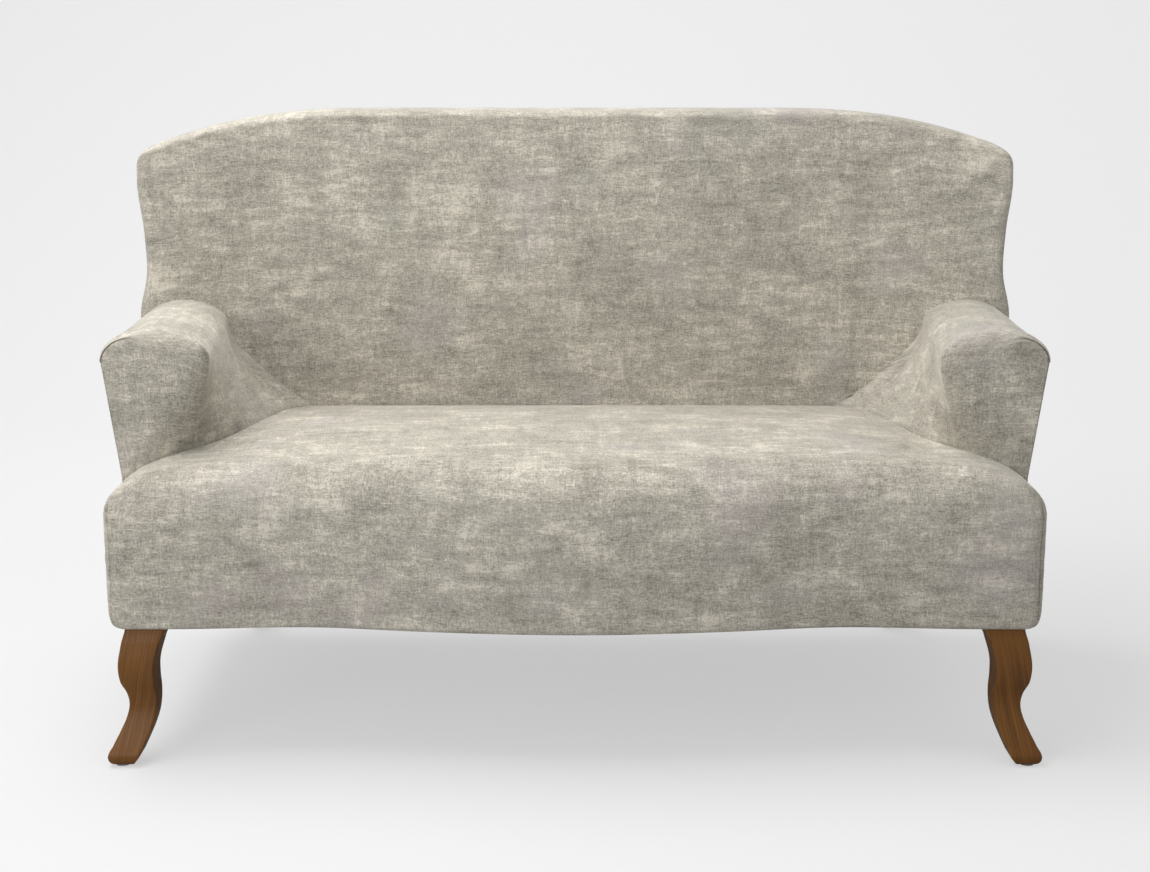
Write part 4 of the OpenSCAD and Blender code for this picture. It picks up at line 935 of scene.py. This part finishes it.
def outside_arm_column(s, inset):
    """From the arm's widest point down to the hem and under it; inset is the depth inside the cloth."""
    rows = []
    for z in np.r_[np.linspace(WIDEST - 0.0003, WIDEST - 0.012, 5), np.linspace(WIDEST - 0.018, 0.232, 44)]:
        y = outside_y(z, s)
        edge = clamp(min((WIDEST - z) / 0.004, s / 0.008, (1 - s) / 0.008))
        rows.append((float(outer_x(y, z)) - inset - 0.0012 * (1 - edge) ** 2, y, z))
    for a in np.linspace(0, 90, 7):
        d, z = APRON - (APRON - inset) * cosd(a), LEG + APRON - (APRON - inset) * sind(a)
        y = outside_y(z, s)
        rows.append((float(outer_x(y, LEG + APRON)) - d, y, z))
    y = outside_y(LEG, s)
    return rows + [(float(outer_x(y, LEG + APRON)) - d, y, LEG + inset) for d in (0.013, 0.018, HEM)]


outside_arm = sheet_ring(*(np.array([outside_arm_column(s, inset) for s in np.linspace(0, 1, 70)])
                           for inset in (0.0, COVER)))
outside_objects = {}
for side, turn in SIDES:
    outside_objects[side] = grid_mesh(f"outside_arm_{side}", placed(outside_arm * (turn, 1, 1)),
                                      outside_arm[:, :, 1:] * (turn, 1), material=fabric, sheet=True)


def outside_back_grid(inset):
    rim = back_rim()
    low = np.array([(float(side_x(z)), z) for z in np.linspace(LEG, WIDEST, 52)])
    rim = np.concatenate([low, rim[rim[:, 1] > WIDEST]])
    columns = []
    for i, f in enumerate(rim):
        b = np.array((0.9 * rim[0][0] * (1 - i / (len(rim) - 1)), LEG))
        long = float(np.hypot(*(b - f)))
        rows = []
        for s in np.r_[0, 0.004, 0.010, 0.02, np.linspace(0.035, 1, 34)]:
            x, z = lerp(f, b, s)
            edge = 0.0012 * (1 - min(1.0, s * long / 0.006)) ** 2
            sag = 0.0015 * bell((z - 0.62) / 0.40) * bell(x / 0.75)
            rows.append((x, float(rear_y(z)) - inset - (edge + sag if inset == 0 else 0), z))
        columns.append(rows)
    right = np.array(columns)
    right[-1, :, 0] = 0
    return both_halves(right)


outside_back_ring = sheet_ring(outside_back_grid(0.0), outside_back_grid(COVER))
outside_back = grid_mesh("outside_back", placed(outside_back_ring), outside_back_ring[:, :, (0, 2)],
                         material=fabric, sheet=True)

# %% [markdown]
# Stuffed work is never as true as its pattern: the cover swells between its fixings. A copy of each pad
# is remeshed into even little squares and blown up a little as cloth, with what is tacked or tucked
# held still. The movement, capped at a few millimetres, is then carried over to the fine mesh, so the
# threads, seams and grooves of that mesh stay as they are.

# %% Cloth simulation
FRAMES = 20
CLOTH = {"use_pressure": True, "uniform_pressure_force": 4.0, "vertex_group_mass": "held", "quality": 4,
         "tension_stiffness": 25, "compression_stiffness": 25, "bending_stiffness": 2.0}


def evaluated(obj):
    return obj.evaluated_get(bpy.context.evaluated_depsgraph_get())


def coordinates(mesh):
    points = np.empty(len(mesh.vertices) * 3)
    mesh.vertices.foreach_get("co", points)
    return points.reshape(-1, 3)


def even_copy(obj, voxel):
    """A copy of the piece, remeshed into little squares of one size."""
    copy = new_object("swelling_" + obj.name, obj.data.copy())
    remesh = copy.modifiers.new("even", "REMESH")
    remesh.mode, remesh.voxel_size = "VOXEL", voxel
    bpy.context.view_layer.update()
    even = bpy.data.meshes.new_from_object(evaluated(copy))
    copy.modifiers.clear()
    copy.data = even
    return copy


def blown_up(copy, fixed):
    """The copy's points once the cloth has been pressed out from inside; fixed is 1 where it is held."""
    group = copy.vertex_groups.new(name="held")
    levels = fixed.round(1)
    for level in np.unique(levels):
        if level > 0:
            group.add(np.nonzero(levels == level)[0].tolist(), float(level), "REPLACE")
    cloth = copy.modifiers.new("cloth", "CLOTH")
    for key, value in CLOTH.items():
        setattr(cloth.settings, key, value)
    cloth.settings.effector_weights.gravity = 0
    cloth.point_cache.frame_start, cloth.point_cache.frame_end = 1, FRAMES
    for number in range(1, FRAMES + 1):
        bpy.context.scene.frame_set(number)
    return coordinates(evaluated(copy).data)


def swell(obj, held, cap, voxel=0.011):
    """Moves obj's points as a pressed-out cloth of the same shape would move, by no more than cap."""
    copy = even_copy(obj, voxel)
    before = coordinates(copy.data)
    fixed = held(before)
    move = blown_up(copy, fixed) - before
    size = np.linalg.norm(move, axis=1, keepdims=True)
    move = move * (cap * np.tanh(size / cap) / np.maximum(size, 1e-9)) * (1 - fixed)[:, None]
    polygons = [tuple(f.vertices) for f in copy.data.polygons]
    finder = BVHTree.FromPolygons(before.tolist(), polygons)
    points = coordinates(obj.data)
    shift = np.zeros_like(points)
    for i, p in enumerate(points):
        spot, _, face, _ = finder.find_nearest(Vector(p))
        ids = list(polygons[face])
        near = 1 / (np.linalg.norm(before[ids] - np.array(spot), axis=1) + 1e-5)
        shift[i] = (move[ids] * near[:, None]).sum(axis=0) / near.sum()
    shift *= (1 - held(points))[:, None]
    obj.data.vertices.foreach_set("co", (points + shift).ravel())
    obj.data.update()
    bpy.context.scene.frame_set(1)
    bpy.data.objects.remove(copy)
    print(f"{obj.name}: {len(before)} cloth points, moved up to "
          f"{np.linalg.norm(shift, axis=1).max() * 1000:.1f} mm")


# %% [markdown]
# Held are the hems, the seat's rear and ends, the back's rim, and the arms' ends and undersides. Each
# function gives 1 where the cover is fixed and falls softly to 0 in the open.

# %% What is held still, and the four pads
def held_seat(p):
    x, z, y = p[:, 0], p[:, 2], p[:, 1] + MIDDLE_Y
    low = 1 - smooth_step((z - LEG - 0.004) / 0.05)
    inside = (z < 0.43) & (y > front_y(x) + 0.012) & (np.abs(x) < BASE - 0.012)
    rear = smooth_step((y - back_face_y(x, z) + 0.05) / 0.04)
    arm_x = arm_seat_x(np.maximum(y, SETBACK))
    beside = (y > SETBACK - 0.01) * smooth_step((np.abs(x) - arm_x + 0.05) / 0.04)
    end = smooth_step((y - SETBACK + 0.03) / 0.02) * (np.abs(x) > 0.55)
    return clamp(np.maximum.reduce([low, inside * 1.0, rear, beside * 1.0, end]))


def held_back(p):
    x, z, y = p[:, 0], p[:, 2], p[:, 1] + MIDDLE_Y
    behind = smooth_step((y - back_face_y(x, z) - 0.004) / 0.012)
    low = 1 - smooth_step((z - SEAT - 0.005) / 0.05)
    edge = smooth_step((np.abs(x) - side_x(z) + 0.05) / 0.05)
    crest = smooth_step((z - arch_z(x) + 0.05) / 0.05)
    arm = (z < 0.72) * smooth_step((np.abs(x) - 0.49) / 0.04) * (1 - smooth_step((z - 0.66) / 0.06))
    return clamp(np.maximum.reduce([behind, low, edge, crest, arm * 1.0]))


def held_arm(p):
    x, z, y = np.abs(p[:, 0]), p[:, 2], p[:, 1] + MIDDLE_Y
    front = 1 - smooth_step((y - SETBACK - 0.02) / 0.05)
    rear = smooth_step((y - back_face_y(np.minimum(x, 0.74), z) + 0.07) / 0.05)
    low = 1 - smooth_step((z - SEAT - 0.01) / 0.05)
    outside = smooth_step((x - outer_x(y, z) + 0.03) / 0.02)
    return clamp(np.maximum.reduce([front, rear, low, outside]))


swell(seat, held_seat, 0.0045)
swell(back, held_back, 0.0055)
for side, _ in SIDES:
    swell(arm_objects[side], held_arm, 0.0035, voxel=0.009)

# %% [markdown]
# The front legs are cabriole legs in the flat: each is sawn to one pattern from the front and to the
# same pattern from the side, then its edges are eased. So a section at any height is a square with
# rounded corners, and the leg is a stack of such sections. The blank's grain is straight and leans a
# little, so it doesn't follow the curves. The rear legs taper and sweep back.

# %% Legs
leg_out = rounded_table([[0, 0.35], [0.018, 0.425], [0.05, 0.468], [0.085, 0.455], [0.135, 0.355],
                         [0.235, 0.19], [0.33, 0.05], [0.42, -0.016], [0.51, 0.02], [0.61, 0.145],
                         [0.74, 0.177], [0.90, 0.09], [1, 0]])
leg_in = rounded_table([[0, -0.16], [0.06, -0.30], [0.135, -0.42], [0.235, -0.56], [0.33, -0.66],
                        [0.42, -0.705], [0.51, -0.715], [0.61, -0.70], [0.74, -0.72], [0.90, -0.86],
                        [1, -1]])
LEG_W, LEG_X, LEG_Y = 0.062, 0.9635 * BASE, 0.006
REAR_X, REAR_TOP_Y, REAR_W, REAR_SWEEP = 0.839 * float(side_x(LEG)), 0.6244, 0.048, 0.070
GLIDE, EASED, FOOT_HIGH, FOOT_IN = 0.0025, 0.0035, 0.003, 0.0025


def eased_square(x0, x1, y0, y1, r, sides=8, turns=4):
    """A rectangle with rounded corners, as points round it."""
    points = []
    corners = ((x1 - r, y0 + r, -90), (x1 - r, y1 - r, 0), (x0 + r, y1 - r, 90), (x0 + r, y0 + r, 180))
    for k, (cx, cy, start) in enumerate(corners):
        for i in range(turns + 1):
            a = start + 90 * i / turns
            points.append((cx + r * cosd(a), cy + r * sind(a)))
        nx, ny, _ = corners[(k + 1) % 4]
        last, goal = np.array(points[-1]), np.array((nx + r * cosd(start + 90), ny + r * sind(start + 90)))
        points += [tuple(lerp(last, goal, i / sides)) for i in range(1, sides)]
    return np.array(points)


def leg_stack(name, section, turn, tilt):
    """A leg of sections, and its grain, which leans by tilt."""
    rows, cloth = [], []
    for z in np.r_[GLIDE, GLIDE + 0.001, GLIDE + 0.003, np.linspace(GLIDE + 0.006, LEG, 76)]:
        up = clamp((z - GLIDE) / FOOT_HIGH)
        inset = FOOT_IN * (1 - math.sqrt(1 - (1 - up) ** 2))
        x0, x1, y0, y1 = section(z)
        ring = eased_square(x0 + inset, x1 - inset, y0 + inset, y1 - inset,
                            max(EASED * math.sqrt(up), 0.0015))
        rows.append(np.column_stack([ring[:, 0] * turn, ring[:, 1], np.full(len(ring), z)]))
        across = ring[:, 0] + 0.62 * (ring[:, 1] - y0) - tilt * (LEG - z)
        cloth.append(np.column_stack([across + 0.3 * turn, np.full(len(ring), z)]))
    return grid_mesh(name, placed(rows), cloth, material=leg_wood)


def front_section(z):
    h = (z - GLIDE) / (LEG - GLIDE)
    a, b = float(leg_out(h)) * LEG_W, float(leg_in(h)) * LEG_W
    return LEG_X + b, LEG_X + a, LEG_Y - a, LEG_Y - b


def rear_section(z):
    t = 1 - (z - GLIDE) / (LEG - GLIDE)
    w = REAR_W * lerp(1, 0.72, t) / 2
    y = REAR_TOP_Y + REAR_SWEEP * t ** 1.35
    return REAR_X - w, REAR_X + w, y - w, y + w


legs = {}
for side, turn in SIDES:
    for end, section, tilt in (("front", front_section, 0.20), ("rear", rear_section, 0.0)):
        legs[f"{end}_leg_{side}"] = leg_stack(f"{end}_leg_{side}_shaped", section, turn, tilt)

# %% [markdown]
# What repeats along a line is laid out by Geometry Nodes: slip stitches where the outside covers are
# sewn to the arms and the back, and staples that hold the black cloth. One tree resamples the line at
# a named pitch, sets a small shape on each point, turned along the line, and makes it all one mesh.

# %% Shapes along a line
LINE_SOCKETS = (("Line", "INPUT", "Geometry"), ("Shape", "INPUT", "Object"), ("Pitch", "INPUT", "Float"),
                ("Jitter", "INPUT", "Float"), ("Finish", "INPUT", "Material"),
                ("Shapes", "OUTPUT", "Geometry"))
LINE_NODES = {
    "given": ("NodeGroupInput", {}), "result": ("NodeGroupOutput", {}),
    "curve": ("GeometryNodeMeshToCurve", {}),
    "even": ("GeometryNodeResampleCurve", {"mode": "LENGTH"}),
    "info": ("GeometryNodeObjectInfo", {"transform_space": "ORIGINAL"}),
    "tangent": ("GeometryNodeInputTangent", {}),
    "align": ("FunctionNodeAlignRotationToVector", {"axis": "X"}),
    "chance": ("FunctionNodeRandomValue", {"data_type": "FLOAT_VECTOR"}),
    "low": ("ShaderNodeVectorMath", {"operation": "SCALE"}),
    "high": ("ShaderNodeVectorMath", {"operation": "SCALE"}),
    "angles": ("FunctionNodeEulerToRotation", {}),
    "turn": ("FunctionNodeRotateRotation", {"rotation_space": "LOCAL"}),
    "place": ("GeometryNodeInstanceOnPoints", {}),
    "real": ("GeometryNodeRealizeInstances", {}),
    "paint": ("GeometryNodeSetMaterial", {}),
}
LINE_LINKS = (
    ("given", "Line", "curve", "Mesh"), ("curve", "Curve", "even", "Curve"),
    ("given", "Pitch", "even", "Length"), ("given", "Shape", "info", "Object"),
    ("tangent", "Tangent", "align", "Vector"),
    ("given", "Jitter", "low", "Scale"), ("given", "Jitter", "high", "Scale"),
    ("low", 0, "chance", "Min"), ("high", 0, "chance", "Max"), ("chance", 0, "angles", 0),
    ("align", "Rotation", "turn", "Rotation"), ("angles", 0, "turn", "Rotate By"),
    ("even", "Curve", "place", "Points"), ("info", "Geometry", "place", "Instance"),
    ("turn", "Rotation", "place", "Rotation"), ("place", "Instances", "real", "Geometry"),
    ("real", "Geometry", "paint", "Geometry"), ("given", "Finish", "paint", "Material"),
    ("paint", "Geometry", "result", "Shapes"))


def along_line_tree():
    tree = bpy.data.node_groups.new("shapes_along_a_line", "GeometryNodeTree")
    for name, way, kind in LINE_SOCKETS:
        tree.interface.new_socket(name, in_out=way, socket_type="NodeSocket" + kind)
    nodes = {name: tree.nodes.new(kind) for name, (kind, _) in LINE_NODES.items()}
    for name, (_, settings) in LINE_NODES.items():
        for key, value in settings.items():
            setattr(nodes[name], key, value)
    nodes["low"].inputs[0].default_value = (-1, -1, -1)
    nodes["high"].inputs[0].default_value = (1, 1, 1)
    next(s for s in nodes["chance"].inputs if s.name == "Seed").default_value = 7
    for a, out, b, into in LINE_LINKS:
        tree.links.new(nodes[a].outputs[out], nodes[b].inputs[into])
    return tree


def line_object(name, paths):
    """A mesh of open lines only."""
    mesh = bpy.data.meshes.new(name)
    points, edges = [], []
    for path in paths:
        start = len(points)
        points += [tuple(p) for p in path]
        edges += [(start + i, start + i + 1) for i in range(len(path) - 1)]
    mesh.from_pydata(points, edges, [])
    return new_object(name, mesh)


def capsule(name, length, radius, rings=3, sides=6):
    """A small stitch along X: a rounded rod of a few dozen faces."""
    stops = [(-length / 2 + radius * (1 - math.cos(a)), radius * math.sin(a))
             for a in np.linspace(0.45, math.pi / 2, rings)]
    stops += [(-x, r) for x, r in reversed(stops)]
    turns = np.linspace(0, 2 * math.pi, sides, endpoint=False)
    return grid_mesh(name, [[(x, r * math.cos(b), r * math.sin(b)) for b in turns] for x, r in stops])


LINE_TREE = along_line_tree()
print("tree for shapes along a line:", len(LINE_TREE.nodes), "nodes,", len(LINE_TREE.links), "links")


# %% Slip stitches and staples
def shapes_along(name, paths, shape, pitch, jitter, finish):
    source = line_object(name + "_line", paths)
    modifier = source.modifiers.new("along", "NODES")
    modifier.node_group = LINE_TREE
    wanted = {"Shape": shape, "Pitch": pitch, "Jitter": jitter, "Finish": finish}
    for item in LINE_TREE.interface.items_tree:
        if item.in_out == "INPUT" and item.name in wanted:
            modifier[item.identifier] = wanted[item.name]
    bpy.context.view_layer.update()
    mesh = bpy.data.meshes.new_from_object(evaluated(source))
    source.modifiers.clear()
    bpy.data.objects.remove(source)
    for face in mesh.polygons:
        face.use_smooth = True
    print(name, len(mesh.polygons), "faces")
    return new_object(name, mesh)


def sewing_thread():
    p = Paint("sewing_thread")
    twist = p.noise(p.place(), (900, 900, 900), detail=2)
    colour = p.mix(twist, (0.34, 0.32, 0.27), (0.58, 0.55, 0.47))
    return p.finish(Base_Color=colour, Roughness=0.8, Normal=p.bump(twist, 0.0003, 0.5))


def on_both_sides(*lines):
    """Each line on the right, then mirrored on the left."""
    return [placed(np.array(line) * (turn, 1, 1)) for line in lines for _, turn in SIDES]


thread = sewing_thread()
stitch = capsule("stitch_shape", 0.0042, 0.00035)
staple = capsule("staple_shape", 0.011, 0.0006)
arm_line = [(float(outer_x(y, WIDEST)), y, WIDEST)
            for y in np.linspace(SETBACK + 0.01, float(rear_y(WIDEST)) - 0.012, 60)]
rim = back_rim()
half = [(float(side_x(z)), z) for z in np.linspace(LEG + 0.02, WIDEST, 40)]
half += [tuple(p) for p in rim[rim[:, 1] > WIDEST + 0.01]]
rear_line = [(x + 0.0002, float(rear_y(z)) - 0.0022, z) for x, z in half]
bottom_line = [(x, float(front_y(x)) + 0.034, LEG - 0.0004) for x in np.linspace(0.0, BASE - 0.05, 60)]
bottom_line += [(BASE - 0.036, y, LEG - 0.0004) for y in np.linspace(0.075, 0.60, 30)]
stitches = shapes_along("slip_stitches", on_both_sides(arm_line, rear_line), stitch, 0.0075, 0.10, thread)
staples = shapes_along("bottom_staples", on_both_sides(bottom_line), staple, 0.045, 0.12, steel)
for shape in (stitch, staple):
    bpy.data.objects.remove(shape)

# %% [markdown]
# The carried nodes keep their shapes and get their finishes here. The rails that run across the sofa,
# from front to rear and upright each have the timber whose grain runs that way.

# %% Finishes of the carried nodes
def left_and_right(*names):
    return [f"{name}_{side}" for name in names for side in ("left", "right")]


FINISHES = {
    timber_across: ["front_rail", "rear_rail", "back_top_rail", "back_tack_rail"],
    timber_deep: ["centre_rail", "seat_frame_dowels",
                  *left_and_right("side_rail", "arm_top_rail", "arm_tack_rail")],
    timber_upright: ["corner_blocks", "back_muntins", "back_frame_dowels",
                     *left_and_right("back_stile", "arm_post")],
    hessian: ["spring_cloth", "back_webbing"],
    steel: ["foot_glides", "leg_bolts", "leg_nuts", "corner_block_screws", "seat_springs", "spring_clips",
            "spring_ties"],
    board: ["outside_back_panel", *left_and_right("outside_arm_panel")],
    black_cloth: ["dust_cover"],
}
for finish, names in FINISHES.items():
    for name in names:
        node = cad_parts[name]
        node.data.materials.clear()
        node.data.materials.append(finish)
print("nodes finished", sum(len(names) for names in FINISHES.values()))

# %% [markdown]
# Each new piece is listed with the slot of the record that gives its finish and the nodes that it
# stands for. It rides on the only body, and those nodes are hidden. The seat, the back and the arms
# are the padded pieces.

# %% Pieces, nodes and slots
STANDS_FOR = {
    seat: ("upholstery_fabric", ["seat_cover", "seat_foam", "front_border_pad"]),
    back: ("upholstery_fabric", ["inside_back_cover", "back_foam"]),
    outside_back: ("upholstery_fabric", ["outside_back_cover"]),
    stitches: ("upholstery_fabric", []),
    staples: ("steel", []),
}
for side in ("left", "right"):
    STANDS_FOR[arm_objects[side]] = ("upholstery_fabric", [f"{part}_{side}" for part in (
        "arm_cover", "arm_foam", "arm_facing", "arm_facing_pad")])
    STANDS_FOR[outside_objects[side]] = ("upholstery_fabric", [f"outside_arm_cover_{side}"])
    for end in ("front", "rear"):
        STANDS_FOR[legs[f"{end}_leg_{side}"]] = ("stained_wood", [f"{end}_leg_{side}"])
for piece, (slot, nodes) in STANDS_FOR.items():
    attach(piece, "root")
    if nodes:
        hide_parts(*nodes)
print("pieces", len(STANDS_FOR))

# %% [markdown]
# The studio is a pale sweep: a floor that curves up into a backdrop. The camera sees it partly as its
# own even brightness, so that the ground stays near white while the sofa's soft shadow still shows.

# %% Floor and backdrop
def studio_sweep():
    path = [(-3.5, 0.0), (0.0, 0.0), (2.2, 0.0)]
    path += [(2.2 + 1.6 * math.sin(a), 1.6 * (1 - math.cos(a)))
             for a in np.linspace(0, math.pi / 2, 14)[1:]]
    path += [(3.8, 4.5)]
    mesh = bpy.data.meshes.new("studio_sweep")
    points = [(x, y, z) for y, z in path for x in (-6.0, 6.0)]
    faces = [(2 * i, 2 * i + 1, 2 * i + 3, 2 * i + 2) for i in range(len(path) - 1)]
    mesh.from_pydata(points, [], faces)
    for face in mesh.polygons:
        face.use_smooth = True
    return new_object("studio_sweep", mesh)


OWN_SHARE = 0.44  # how much of the ground, as the camera sees it, is its own brightness
sweep = studio_sweep()
p = Paint("studio_ground")
p.finish(Base_Color=(0.50, 0.50, 0.50), Roughness=0.9, Specular_IOR_Level=0.0)
deep = p.node("ShaderNodeSeparateXYZ", None, {0: p.place()})
own = p.mix(Wire(p, deep.outputs["Y"]).lift(0.4, 2.4), (1.18, 1.18, 1.18), (1.39, 1.39, 1.39))
glow = p.node("ShaderNodeEmission", None, {"Color": own, "Strength": 1.0})
rays = p.node("ShaderNodeLightPath")
seen = Wire(p, rays.outputs["Is Camera Ray"])
blend = p.node("ShaderNodeMixShader", None,
               {0: seen * OWN_SHARE, 1: p.shader.outputs[0], 2: glow.outputs[0]})
out = next(n for n in p.tree.nodes if n.type == "OUTPUT_MATERIAL")
p.tree.links.new(blend.outputs[0], out.inputs["Surface"])
sweep.data.materials.append(p.material)
print("sweep faces", len(sweep.data.polygons), "ground nodes", len(p.tree.nodes))

# %% [markdown]
# The light is plain and soft: an even world, a wide panel overhead and to the left, which makes the
# seat and the scrolls brighter than the upright covers, and a weaker panel in front on the left.

# %% Lamps and world
def panel(name, place, aim, size, power):
    data = bpy.data.lights.new(name, "AREA")
    data.shape, data.size, data.size_y, data.energy = "RECTANGLE", size[0], size[1], power
    obj = new_object(name, data)
    obj.location = place
    obj.rotation_euler = (Vector(aim) - Vector(place)).to_track_quat("-Z", "Y").to_euler()


panel("overhead", (-1.0, 0.15, 3.0), (0, 0.0, 0.4), (2.8, 1.8), 93)
panel("front_left", (-1.9, -3.0, 1.5), (0, 0, 0.5), (1.8, 1.8), 35)
world = bpy.data.worlds.new("studio")
world.use_nodes = True
background = world.node_tree.nodes["Background"]
background.inputs["Color"].default_value = (1, 1, 1, 1)
background.inputs["Strength"].default_value = 0.60
bpy.context.scene.world = world
bpy.context.scene.view_settings.view_transform = "Standard"

# %% The scene updated
bpy.context.view_layer.update()
